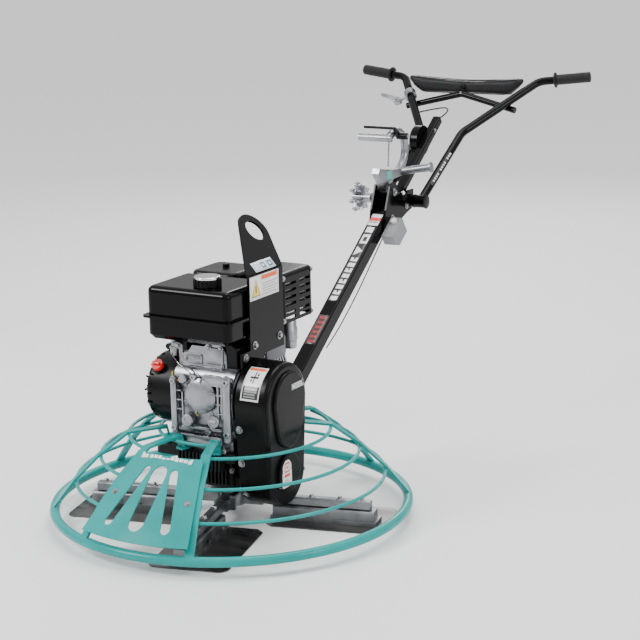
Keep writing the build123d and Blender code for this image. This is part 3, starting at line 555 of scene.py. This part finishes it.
def make_fasteners():
    arms = (-142.0, -109.5, -70.5, 30.0, 66.0, 114.0, 165.0)
    fasteners("guard_foot_bolts", "frame",
              [("guard_arms", polar(142, a, 225), (0, 0, -1), 6.0) for a in arms])
    shield = [(106, -362, 400), (-106, -362, 400)]
    fasteners("shield_bolts", "frame",
              [("front_shield", p, (0, 0, -1), 5.0) for p in shield])
    cover = [(118, -400, 278), (118, -400, 190), (118, -400, 105)]
    items = [("belt_guard", p, (0, 1, 0), 6.5) for p in cover]
    items += [("belt_guard", (118, 400, z), (0, -1, 0), 6.5) for z in (300, 120)]
    fasteners("belt_guard_bolts", "frame", items)
    case = [(-74, z) for z in (262, 300, 340, 382)] + [(88, z) for z in (262, 310, 360, 396)]
    fasteners("crankcase_bolts", "frame",
              [("crankcase", (x, -400, z), (0, 1, 0), 5.5) for x, z in case])
    items = [("muffler_guard", (300, y, z), (-1, 0, 0), 4.5)
             for y in (126, 268) for z in (606, 494)]
    items += [("air_cleaner", (-400, y, 560), (1, 0, 0), 4.0) for y in (90, 160)]
    items += [("fuel_tank", (x, -68, 540.0), (0, 0, -1), 5.0) for x in (-152.0, 92.0)]
    fasteners("engine_top_bolts", "frame", items)
    items = [("recoil_housing", (-400, RECOIL_Y + RECOIL_BOLTS * math.cos(math.radians(a)),
                                 SHAFT_Z + RECOIL_BOLTS * math.sin(math.radians(a))),
              (1, 0, 0), 4.5)
             for a in (20, 110, 200, 290)]
    fasteners("recoil_bolts", "frame", items)
    head = [(838, 612), (866, 640), (884, 712), (960, 662)]
    items = [("handle_head", (side * 200, y, z), (-side, 0, 0), 6.5)
             for side in (-1, 1) for y, z in head]
    items += [("handle_tube", (side * 200, y, z), (-side, 0, 0), 7.0)
              for side in (-1, 1) for y, z in ((176, 178), (236, 228))]
    items += [("handle_head", (200, y, tube_height(y) - 20.8), (-1, 0, 0), 4.0)
              for y in (1030, 1180)]
    fasteners("handle_bolts", "frame", items)
    fasteners("bail_bolts", "frame",
              [("lifting_bail", (300, y, z), (-1, 0, 0), 7.0)
               for y, z in ((-84, 446), (80, 470), (-40, 470))])
    for i in range(4):
        azimuth = BLADE_PHASE + 90.0 * i
        items = [(f"trowel_arm_{i + 1}", polar(r, azimuth, 300), (0, 0, -1), 6.5)
                 for r in (140, 215, 290, 350)]
        fasteners(f"trowel_arm_bolts_{i + 1}", f"arm_{i + 1}", items)
    gear = [("gearbox_housing", (x, -400, 150), (0, 1, 0), 5.0) for x in (-58, 62)]
    gear += [("gearbox_housing", (-300, y, z), (1, 0, 0), 5.0)
             for y in (-80, 44) for z in (118, 172)]
    fasteners("gearbox_bolts", "frame", gear)


# ------------------------------------------------------------------ engine dressing
def make_engine_dressing():
    bm = bmesh.new()
    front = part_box("crankcase")[0][1] / MM - ROTOR.y / MM
    face = facing(at(0, front, SHAFT_Z), (0, -1, 0))

    def on_face(x, z, depth=0.0):
        return face @ Matrix.Translation(Vector((x, z - SHAFT_Z, depth)) * MM)

    slab_into(bm, on_face(-71, 322), 17, 150, 9, 3)
    slab_into(bm, on_face(85, 326), 22, 172, 8, 4)
    slab_into(bm, on_face(6, 240), 128, 20, 7, 3)
    slab_into(bm, on_face(8, 268), 120, 7, 5, 2)
    slab_into(bm, on_face(8, 384), 128, 6, 5, 2)
    for z in (312, 336, 360):
        slab_into(bm, on_face(-58, z), 18, 4, 6, 1.5)
        slab_into(bm, on_face(64, z), 24, 4, 6, 1.5)
    slab_into(bm, on_face(60, 344), 6, 90, 7, 2.5)
    slab_into(bm, on_face(70, 352), 5, 110, 5, 2)
    slab_into(bm, on_face(-46, 318), 5, 80, 6, 2)
    slab_into(bm, on_face(44, 398), 60, 24, 6, 4)
    dome = [(46, 0.0), (46, 5.0), (41, 9.5), (30, 13.0), (16, 14.5), (6, 15.0)]
    lathe_into(bm, dome, on_face(6, 352), 40)
    lathe_into(bm, [(17, 0.0), (17, 11.0), (14, 14.0), (8, 14.0), (7, 12.0)],
               on_face(-30, 286), 28)
    lathe_into(bm, [(12, 0.0), (12, 12.0), (9, 15.0)], on_face(-40, 392), 24)
    for i in range(6):
        a = math.radians(60 * i + 20)
        rib = on_face(6 + 33 * math.cos(a), 352 + 33 * math.sin(a), 5.0)
        slab_into(bm, rib @ Matrix.Rotation(a, 4, "Z"), 26, 4, 8, 1.5)
    for x, z in ((-72, 262), (-72, 384), (84, 262), (84, 396), (30, 262), (-10, 400)):
        lathe_into(bm, [(9, 0.0), (9, 9.0), (7.5, 11.0), (3.5, 11.0), (3.0, 8.0)],
                   on_face(x, z), 20)
    finish_piece(link_mesh("crankcase_casting", bm), "frame", "cast_alloy")

    bm = bmesh.new()
    foot = facing(at(6, -118, 220), (0, -1, 0))
    slab_into(bm, foot, 124, 24, 16, 3)
    for x in (-44, -18, 10, 36):
        slab_into(bm, foot @ Matrix.Translation(Vector((x, 1, 14)) * MM), 15, 10, 4, 1.2)
    for x in (-58, 60):
        lug = facing(at(x, -126, 208.5), (0, 0, 1), (0, 1, 0))
        slab_into(bm, lug, 26, 24, 9, 3)
        bolt_into(bm, facing(at(x, -127, 217.0), (0, 0, 1)), 7.5)
    finish_piece(link_mesh("engine_foot", bm), "frame", "cast_alloy")

    bm = bmesh.new()
    plug = facing(at(49, front, 291), (0, -1, 0.12))
    profile = [(11, 0.0), (11, 6.0), (15, 6.0), (16.5, 8.0), (16.5, 13.0), (15, 15.0),
               (12, 15.5), (11, 14.0), (6, 14.0)]
    lathe_into(bm, profile, plug, 32)
    slab_into(bm, plug @ Matrix.Translation(Vector((0, 0, 13.5)) * MM), 21, 6, 6, 1.5)
    finish_piece(link_mesh("oil_filler_plug", bm), "frame", "cast_alloy")

    bm = bmesh.new()
    cup = facing(at(-104, -84, 430), (0, 0, 1))
    lathe_into(bm, [(6, 0), (11, 2), (12.5, 6), (12.5, 20), (14, 21), (14, 26), (9, 28),
                    (9, 42), (12, 43), (12, 50)], cup, 28)
    slab_into(bm, facing(at(-92, -84, 462), (0, -1, 0)), 30, 18, 12, 3)
    bolt_into(bm, facing(at(-86, -96, 462), (0, -1, 0)), 5.5)
    slab_into(bm, facing(at(-78, -92, 440), (0, -1, 0)), 12, 56, 6, 2)
    finish_piece(link_mesh("fuel_cock", bm), "frame", "cast_alloy")

    bm = bmesh.new()
    block = [(-70, 398), (62, 398), (62, 452), (44, 484), (12, 484), (-2, 470), (-40, 470),
             (-52, 452), (-70, 446)]
    prism_into(bm, block, -104, -66)
    slab_into(bm, facing(at(30, -104, 448), (0, -1, 0)), 50, 44, 5, 2.5)
    slab_into(bm, facing(at(-30, -104, 436), (0, -1, 0)), 44, 26, 4, 2)
    for x, z in ((12, 470), (48, 470), (50, 424), (-56, 434)):
        bolt_into(bm, facing(at(x, -107, z), (0, -1, 0)), 4.5)
    finish_piece(link_mesh("upper_casting", bm), "frame", "cast_alloy", sharp=30)

    bm = bmesh.new()
    prism_into(bm, [(-70, 452), (-70, 486), (70, 486), (90, 470), (90, 415), (62, 415),
                    (62, 470), (-60, 478), (-60, 452)], -100, 20)
    finish_piece(link_mesh("cooling_shroud", bm), "frame", "black_plastic", sharp=30)

    bm = bmesh.new()
    shroud = facing(at(101.5, 64, 437), (1, 0, 0))
    slab_into(bm, shroud, 92, 52, 5, 1.5)
    slab_into(bm, facing(at(82, 64, 463), (0, 0, 1), (0, 1, 0)), 44, 92, 4, 1.2)
    finish_piece(link_mesh("cylinder_shroud", bm), "frame", "grey_plastic",
                 surface("grey_sheet", (0.10, 0.10, 0.115), 0.4, grain=900.0, bump=0.1))

    bm = bmesh.new()
    pipe = [(17, 0), (19, 3), (19, 20), (21, 22), (21, 54), (19, 58), (19, 70), (17, 74)]
    lathe_into(bm, pipe, facing(at(78, 178, 412), (0, 0, 1)), 32)
    finish_piece(link_mesh("exhaust_elbow", bm), "frame", "cast_alloy")

    bm = bmesh.new()
    low, high = (Vector(v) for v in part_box("fuel_cap"))
    centre = (low + high) / 2
    centre.z = low.z
    ring = facing(centre, (0, 0, 1))
    radius = (high.x - low.x) / 2 / MM
    height = (high.z - low.z) / MM
    lathe_into(bm, [(radius - 3, -3.0), (radius + 0.4, -2.0), (radius + 0.4, height - 6),
                    (radius - 0.5, height - 5)], ring, 48)
    for i in range(18):
        a = 2 * math.pi * i / 18
        rib = ring @ Matrix.Rotation(a, 4, "Z") @ Matrix.Translation(
            Vector((radius + 0.6, 0, -1.5)) * MM)
        slab_into(bm, rib, 4.4, 6.0, height - 5, 1.2)
    finish_piece(link_mesh("fuel_cap_skirt", bm), "tank_cap", "black_plastic")

    bm = bmesh.new()
    low, high = (Vector(v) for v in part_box("recoil_housing"))
    hub = at(0, RECOIL_Y, SHAFT_Z)
    disc = facing(Vector((low.x, hub.y, hub.z)), (-1, 0, 0))
    lathe_into(bm, [(40, -1.0), (40, 1.5), (36, 3.0), (12, 4.0), (11, 6.0), (4, 6.5)], disc, 40)
    for i in range(12):
        arm = disc @ Matrix.Rotation(math.radians(30 * i), 4, "Z") @ Matrix.Translation(
            Vector((56, 0, -1)) * MM)
        slab_into(bm, arm, 26, 5, 2.5, 1.0)
    finish_piece(link_mesh("recoil_disc", bm), "frame", "black_plastic")

    bm = bmesh.new()
    seat = Vector((0, math.cos(math.radians(137)), math.sin(math.radians(137))))
    low, high = (Vector(v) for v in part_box("engine_switch"))
    knob = facing((low + high) / 2 + seat * 0.0075, seat)
    slab_into(bm, knob, 24, 7, 6, 2)
    finish_piece(link_mesh("switch_bar", bm), "switch", "red_plastic")

    tube("wire_loop", [(-30, -132, 420), (-6, -136, 404), (14, -150, 380), (6, -152, 352),
                       (-16, -146, 344), (-38, -136, 356)], 1.9, "frame", "cable_black")
    yellow = surface("yellow_wire", (0.55, 0.40, 0.03), 0.45, grain=900.0, bump=0.1)
    tube("wire_yellow_a", [(-84, -128, 392), (-70, -140, 384), (-48, -142, 386),
                           (-34, -138, 376)], 1.5, "frame", "cable_black", yellow)
    tube("wire_yellow_b", [(-86, -126, 402), (-80, -138, 378), (-76, -140, 356)], 1.5,
         "frame", "cable_black", yellow)
    tube("wire_yellow_c", [(-24, -142, 352), (-10, -144, 330), (-16, -144, 312),
                           (-2, -142, 300)], 1.3, "frame", "cable_black", yellow)
    tube("governor_spring_rod", [(-28, -130, 404), (-60, -134, 420), (-96, -110, 440)], 1.2,
         "frame", "shaft_steel")


# ------------------------------------------------------------------ handle dressing
PIVOT = (980.0, 674.0)    # y and z of the handlebar's pivot
GRIP_INNER = (284.0, 1475.0, 992.3)
GRIP_OUTER = (386.0, 1491.0, 1003.0)
GRIP_RIBS = 17
CLAMP_UP = (0.0, -0.55, 0.835)
PAD_HALF = 192.0          # belly pad: half width, middle depth and middle height
PAD_Y = 1431.0
PAD_Z = 967.0
PAD_BOTTOM = 945.0
PAD_TOP = 989.0
PAD_HORN = 10.0           # rise of its top edge towards the ends
PAD_CUT = 0.78            # share of the half width where the bottom edge starts to rise
PAD_RISE = 36.0
PAD_DEPTH = 14.5
PAD_BULGE = 0.0035        # furthest a point of the pad may swell, in metres
PAD_FRAMES = 20           # frames of cloth settling
PAD_VOXEL = 0.005         # remeshing step, in metres


def pad_section(x):
    """Centre height, half height and half depth of the belly pad at x, in millimetres."""
    share = abs(x) / PAD_HALF
    top = PAD_TOP + PAD_HORN * share ** 1.6
    bottom = PAD_BOTTOM
    if share >= PAD_CUT:
        bottom += (share - PAD_CUT) / (1.0 - PAD_CUT) * PAD_RISE
    end = math.sqrt(max(0.0, 1.0 - share ** 14))
    half = (top - bottom) / 2 * (0.55 + 0.45 * end)
    return (top + bottom) / 2, half, PAD_DEPTH * (0.5 + 0.5 * end)


def pad_cage(columns=54, around=22):
    bm = bmesh.new()
    rings = []
    for i in range(columns + 1):
        x = -PAD_HALF + 2 * PAD_HALF * i / columns
        middle, half, depth = pad_section(x)
        ring = []
        for j in range(around):
            a = 2 * math.pi * j / around
            c, s = math.cos(a), math.sin(a)
            y = PAD_Y + depth * math.copysign(abs(c) ** 0.62, c)
            z = middle + half * math.copysign(abs(s) ** 0.55, s)
            ring.append(bm.verts.new(at(x, y, z)))
        rings.append(ring)
    for a, b in zip(rings, rings[1:]):
        for j in range(around):
            k = (j + 1) % around
            bm.faces.new((a[j], b[j], b[k], a[k]))
    bm.faces.new(rings[0])
    bm.faces.new(list(reversed(rings[-1])))
    bmesh.ops.recalc_face_normals(bm, faces=bm.faces)
    return bm


def puff(thing):
    """Blow the pad up a little as cloth, with its swelling capped."""
    scene = bpy.context.scene
    start = [v.co.copy() for v in thing.data.vertices]
    cloth = thing.modifiers.new("puff", "CLOTH")
    cloth.settings.quality = 5
    cloth.settings.mass = 0.2
    cloth.settings.use_pressure = True
    cloth.settings.uniform_pressure_force = 4.0
    cloth.settings.effector_weights.gravity = 0.0
    cloth.settings.shrink_min = -0.03
    cloth.point_cache.frame_start = 1
    cloth.point_cache.frame_end = PAD_FRAMES
    for step in range(1, PAD_FRAMES + 1):
        scene.frame_set(step)
    shape = thing.evaluated_get(bpy.context.evaluated_depsgraph_get()).to_mesh()
    moved = [v.co.copy() for v in shape.vertices]
    thing.to_mesh_clear()
    thing.modifiers.remove(cloth)
    scene.frame_set(1)
    for vert, before, after in zip(thing.data.vertices, start, moved):
        shift = after - before
        if shift.length > PAD_BULGE:
            shift *= PAD_BULGE / shift.length
        vert.co = before + shift


def crease(thing):
    """Shallow puckers along the sewn edges and sags between the fixings."""
    for vert in thing.data.vertices:
        local = (vert.co - ROTOR) / MM
        wave = math.sin(local.x * 0.19 + 1.3 * math.sin(local.x * 0.045)) * 0.5
        wave += math.sin(local.x * 0.41 + local.z * 0.12) * 0.35
        near_edge = min(1.0, abs(local.z - PAD_Z) / 24.0) ** 2
        vert.co.y += wave * 0.7 * MM * (0.35 + near_edge) * (-1 if local.y < PAD_Y else 1)
        if abs(local.x) < 16 and abs(local.z - PAD_Z) < 14 and local.y < PAD_Y:
            vert.co.y += 1.6 * MM


def make_pad():
    pad = link_mesh("belly_pad_cover", pad_cage())
    remesh = pad.modifiers.new("remesh", "REMESH")
    remesh.mode = "VOXEL"
    remesh.voxel_size = PAD_VOXEL
    shape = pad.evaluated_get(bpy.context.evaluated_depsgraph_get())
    fresh = bpy.data.meshes.new_from_object(shape)
    pad.modifiers.clear()
    pad.data = fresh
    puff(pad)
    crease(pad)
    low, high = (Vector(v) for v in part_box("belly_pad"))
    for vert in pad.data.vertices:
        vert.co = [min(max(c, a), b) for c, a, b in zip(vert.co, low, high)]
    smooth = pad.modifiers.new("smooth", "SUBSURF")
    smooth.levels = 1
    smooth.render_levels = 1
    finish_piece(pad, "handlebar_set", "pad_vinyl", sharp=180.0)
    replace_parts(pad, "belly_pad")
    for name, y in (("pad_seam_front", 1417.5), ("pad_seam_back", 1444.5)):
        for end, bottom in (("top", False), ("bottom", True)):
            points = []
            for i in range(13):
                x = -PAD_HALF * 0.93 + 2 * PAD_HALF * 0.93 * i / 12
                middle, half, _ = pad_section(x)
                z = middle - half * 0.9 if bottom else middle + half * 0.9
                points.append((x, y + 0.4 * math.sin(i * 2.1), z))
            tube(f"{name}_{end}", points, 1.3, "handlebar_set", "pad_vinyl")
    bm = bmesh.new()
    lathe_into(bm, [(11, -3.0), (11, 1.0), (9.5, 3.6), (6.5, 5.4), (2.5, 6.2)],
               facing(at(-1, 1416, 968), (0, -1, 0)), 28)
    finish_piece(link_mesh("pad_button", bm), "handlebar_set", "black_plastic")
    bm = bmesh.new()
    for x in (-1, -60, 60):
        bolt_into(bm, facing(at(x, 1394, 950 if x == -1 else 936), (0, -1, -0.1)), 3.2)
    finish_piece(link_mesh("pad_bolts", bm), "handlebar_set", "shaft_steel", sharp=30)


def make_grips():
    """Ribbed rubber sleeves with a hand stop, one on each end of the handlebar."""
    for side, name in ((-1, "grip_left"), (1, "grip_right")):
        inner = at(side * GRIP_INNER[0], *GRIP_INNER[1:])
        outer = at(side * GRIP_OUTER[0], *GRIP_OUTER[1:])
        place = facing(inner, outer - inner)
        length = (outer - inner).length / MM
        profile = [(13.2, -2.0), (20, -2.0), (23.4, -1.0), (24, 0.8), (23.4, 2.4), (20, 3.4),
                   (16.2, 4.0)]
        for i in range(GRIP_RIBS):
            h = 6.0 + (length - 10.0) * i / GRIP_RIBS
            profile += [(15.2, h), (16.3, h + 1.2), (16.3, h + 3.4), (15.2, h + 4.6)]
        profile += [(16.3, length), (16.5, length + 2), (15.6, length + 5), (13, length + 6)]
        bm = bmesh.new()
        lathe_into(bm, profile, place, 36)
        grip = finish_piece(link_mesh(name, bm), "handlebar_set", "grip_rubber", sharp=60)
        if side < 0:
            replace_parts(grip, "grips")


def make_handle_dressing():
    make_pad()
    make_grips()
    route = [(-166, 1398, 880), (-110, 1400, 893), (-50, 1380, 905), (-12, 1330, 905),
             (0, 1270, 893), (0, 1226, 886)]
    flexible("throttle_cable_sleeve", "throttle_cable", route, 2.5, "handlebar_set")
    rope_low, rope_high = (Vector(corner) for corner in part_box("recoil_rope"))
    middle = ((rope_low + rope_high) / 2 - ROTOR) / MM
    heights = [(rope_low.z + (rope_high.z - rope_low.z) * i / 8) / MM for i in range(9)]
    route = [(middle.x, middle.y, z) for z in reversed(heights)]
    flexible("recoil_rope_strand", "recoil_rope", route, 2.5, "starter")
    route = [(0, 420, 298), (0, 372, 250), (0, 310, 190), (0, 240, 135), (0, 175, 104),
             (0, 119, 88)]
    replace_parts(tube("pitch_cable_sleeve", route, 3.0, "frame", "cable_black"), "pitch_cable")
    thin = [(14, 846, 602), (22, 700, 492), (24, 600, 420), (25, 520, 368), (22, 470, 338)]
    tube("tube_cable", thin, 1.8, "frame", "cable_black")
    latch = [(0, 901, 860), (0, 897, 822), (0, 893, 785)]
    tube("latch_rod", latch, 2.2, "pitch_control", "shaft_steel", order=2)
    bm = bmesh.new()
    lathe_into(bm, [(10, -4), (10, 12), (7, 14), (7, 17)],
               facing(at(30, 940, 690), (0.3, -1, 0.5)), 6)
    finish_piece(link_mesh("head_boss", bm), "frame", "black_plastic", sharp=30)
    bm = bmesh.new()
    ball = [(0.5, -7), (4, -5.8), (6.2, -3), (7, 0), (6.2, 3), (4, 5.8), (0.5, 7)]
    lathe_into(bm, ball, facing(at(31, 928, 704), (0, 0, 1)), 24)
    finish_piece(link_mesh("head_ball", bm), "frame", "chrome_cap")
    bm = bmesh.new()
    for side in (-1, 1):
        for x, washer in ((80, [(21, 0), (21, 2), (19.5, 2.4)]), (44, [(20.5, 0), (20.5, 0.25)])):
            lathe_into(bm, washer, facing(at(side * x, *PIVOT), (side, 0, 0)), 30)
    finish_piece(link_mesh("pivot_washers", bm), "handlebar_set", "paint_black_gloss", sharp=30)
    bm = bmesh.new()
    start, end = (-70, 1251, 845), (-233, 1467, 987)
    collar = facing(at(*[a + (b - a) * 0.66 for a, b in zip(start, end)]), CLAMP_UP)
    bolt_into(bm, collar @ Matrix.Translation(Vector((0, 0, 19)) * MM), 5)
    bolt_into(bm, facing(at(-214, 1376, 918) + Vector(CLAMP_UP) * 10.2 * MM, CLAMP_UP), 5)
    finish_piece(link_mesh("throttle_bolts", bm), "handlebar_set", "shaft_steel", sharp=30)


def flexible(name, node, route, radius, body):
    """Cord from a moving body (first point) to the frame (last point) along a bent route, baked
    into a fixed mesh that hangs on no body.
    """
    slot = SLOT_OF[node]
    curve = tube(name + "_path", route, radius, body, slot)
    shape = curve.evaluated_get(bpy.context.evaluated_depsgraph_get())
    mesh = bpy.data.meshes.new_from_object(shape)
    bpy.data.objects.remove(curve)
    cord = bpy.data.objects.new(name, mesh)
    bpy.context.scene.collection.objects.link(cord)
    mesh.shade_smooth()
    mesh.materials.clear()
    mesh.materials.append(LOOKS[slot])
    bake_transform(cord)
    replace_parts(cord, node)


# ------------------------------------------------------------------ labels
WHITE = (0.80, 0.80, 0.80)
ORANGE = (0.75, 0.13, 0.03)
INK = (0.012, 0.012, 0.013)
YELLOW = (0.80, 0.58, 0.03)
PALE_BLUE = (0.42, 0.62, 0.78)
GREY = (0.35, 0.35, 0.36)


def bars(u0, u1, v0, v1, rows, colour, ragged=0.18):
    """Rows of short bars that stand for small print."""
    marks = []
    pitch = (v1 - v0) / rows
    for i in range(rows):
        cut = ragged * (0.5 + 0.5 * math.sin(i * 2.7))
        marks.append((u0, v0 + i * pitch, u1 - cut * (u1 - u0), v0 + (i + 0.5) * pitch, colour))
    return marks


def make_labels():
    warn = [(0.40, 0.76, 0.96, 0.95, ORANGE), (0.05, 0.12, 0.37, 0.86, INK, True),
            (0.075, 0.16, 0.345, 0.80, YELLOW, True), (0.19, 0.27, 0.23, 0.58, INK)]
    warn += bars(0.42, 0.96, 0.12, 0.68, 5, GREY)
    decal("bail_label", "lifting_bail", "frame", (107, 12, 614), (-1, 0, 0), (0, 0, 1),
          (138, 60), art_look("bail_label_art", WHITE, warn), grid=(6, 4))
    lean = math.radians(42)
    small = [(0.08, 0.2, 0.26, 0.8, PALE_BLUE), (0.40, 0.2, 0.58, 0.8, (0.06, 0.12, 0.2)),
             (0.72, 0.2, 0.92, 0.8, (0.06, 0.12, 0.2))]
    small += [(0.12, 0.3, 0.22, 0.7, WHITE), (0.44, 0.35, 0.54, 0.65, WHITE),
              (0.77, 0.35, 0.87, 0.65, WHITE)]
    decal("bail_small_label", "lifting_bail", "frame", (94, 27, 660),
          (-math.cos(lean), 0, -math.sin(lean)), (-math.sin(lean), 0, math.cos(lean)),
          (96, 28), art_look("bail_small_art", (0.62, 0.72, 0.80), small), grid=(6, 3))
    side = [(0.04, 0.88, 0.96, 0.97, ORANGE), (0.06, 0.05, 0.94, 0.40, INK)]
    side += bars(0.15, 0.85, 0.09, 0.36, 4, (0.25, 0.25, 0.25))
    side += [(0.47, 0.48, 0.53, 0.84, INK), (0.28, 0.63, 0.72, 0.69, INK),
             (0.33, 0.53, 0.42, 0.60, INK), (0.60, 0.72, 0.70, 0.79, INK)]
    decal("belt_guard_side_label", "belt_guard", "frame", (150, -118, 394),
          (0, 0.82, -0.57), (0, 0.57, 0.82), (52, 92), art_look("side_label_art", WHITE, side),
          grid=(6, 20))
    plain = [(0.05, 0.1, 0.25, 0.9, (0.16, 0.16, 0.17)), (0.10, 0.25, 0.20, 0.75, WHITE)]
    plain += [(0.30 + 0.11 * i, 0.25, 0.37 + 0.11 * i, 0.75, (0.3, 0.3, 0.31))
              for i in range(6)]
    decal("belt_guard_panel_label", "belt_guard", "frame", (208, -2, 372), (-1, 0, 0),
          (0, 0, 1), (66, 15), art_look("panel_label_art", (0.55, 0.55, 0.56), plain),
          grid=(8, 3))
    disc = [(0.2, 0.36, 0.8, 0.46, (0.7, 0.03, 0.03)), (0.24, 0.52, 0.76, 0.86, (0.7, 0.05, 0.05)),
            (0.32, 0.58, 0.68, 0.80, WHITE), (0.42, 0.64, 0.58, 0.74, (0.7, 0.05, 0.05))]
    disc += bars(0.14, 0.86, 0.06, 0.30, 4, GREY, 0.3)
    decal("belt_guard_round_label", "belt_guard", "frame", (210, -70, 160), (-1, 0, 0),
          (0, 0, 1), (44, 74), art_look("round_label_art", WHITE, disc), grid=(28, 36),
          keep=lambda u, v: v < 0.55 or (u - 0.5) ** 2 + ((v - 0.66) * 1.6) ** 2 < 0.25)
    words = [(0.00, 0.0, 0.14, 1.0, WHITE)]
    words += [(0.18 + 0.082 * i, 0.1 if i % 3 else 0.0, 0.245 + 0.082 * i, 0.9, WHITE)
              for i in range(10)]
    teal = (0.008, 0.300, 0.285)
    decal("shield_stripe", "front_shield", "frame", (0, -291, 236), (0, 0.68, -0.73),
          (0, 0.73, 0.68), (150, 16), art_look("shield_art", teal, words), grid=(40, 3))
    slope = math.radians(TUBE_LEAN)
    tube_in = (0, math.sin(slope), -math.cos(slope))
    tube_up = (1, 0, 0)
    block = [(0.02, 0.10, 0.09, 0.88, WHITE), (0.12, 0.10, 0.24, 0.90, WHITE),
             (0.15, 0.30, 0.21, 0.70, INK), (0.28, 0.10, 0.40, 0.90, WHITE, True)]
    block += [(0.43 + 0.072 * i, 0.14, 0.478 + 0.072 * i, 0.86, WHITE) for i in range(8)]
    block += [(0.43 + 0.072 * i, 0.42, 0.455 + 0.072 * i, 0.60, INK) for i in range(0, 8, 2)]
    middle = (0, 680, tube_height(680))
    decal("tube_label", "handle_tube", "frame", middle, tube_in, tube_up, (300, 30),
          art_look("tube_art", INK, block), grid=(30, 3))
    dark_red = [(0.05 + 0.16 * i, 0.2, 0.13 + 0.16 * i, 0.8, (0.30, 0.008, 0.010))
                for i in range(6)]
    decal("tube_low_label", "handle_tube", "frame", (0, 470, tube_height(470)), tube_in,
          tube_up, (110, 34), art_look("tube_low_art", (0.03, 0.008, 0.009), dark_red),
          grid=(12, 3))
    sticker = [(0.3, 0.0, 0.62, 1.0, (0.65, 0.03, 0.03)), (0.68, 0.1, 0.76, 0.9, INK)]
    decal("tube_top_label", "handle_tube", "frame", (0, 822, tube_height(822)), tube_in,
          tube_up, (46, 34), art_look("tube_top_art", WHITE, sticker), grid=(6, 3))
    along = Vector((8, 263, 166)).normalized()
    front = Vector((0.75, -0.35, 0.55))
    front = (front - along * front.dot(along)).normalized()
    letters = [(0.02 + 0.07 * i, 0.2, 0.06 + 0.07 * i, 0.8, WHITE) for i in range(14) if i % 5 != 3]
    decal("bar_label", "handlebar", "handlebar_set", (66, 1100, 750), -front, along.cross(front),
          (150, 9), art_look("bar_art", INK, letters), grid=(30, 4))
    decal("handle_base_label", "pitch_handle", "pitch_control", (12, 880, 762), (-1, 0, 0),
          (0, 0, 1), (34, 26), art_look("base_art", (0.05, 0.40, 0.36),
                                        bars(0.2, 0.8, 0.3, 0.7, 2, (0.03, 0.28, 0.25))),
          grid=(6, 5))


make_camera()
make_studio()
paint_cad()
make_fasteners()
make_engine_dressing()
make_handle_dressing()
make_labels()
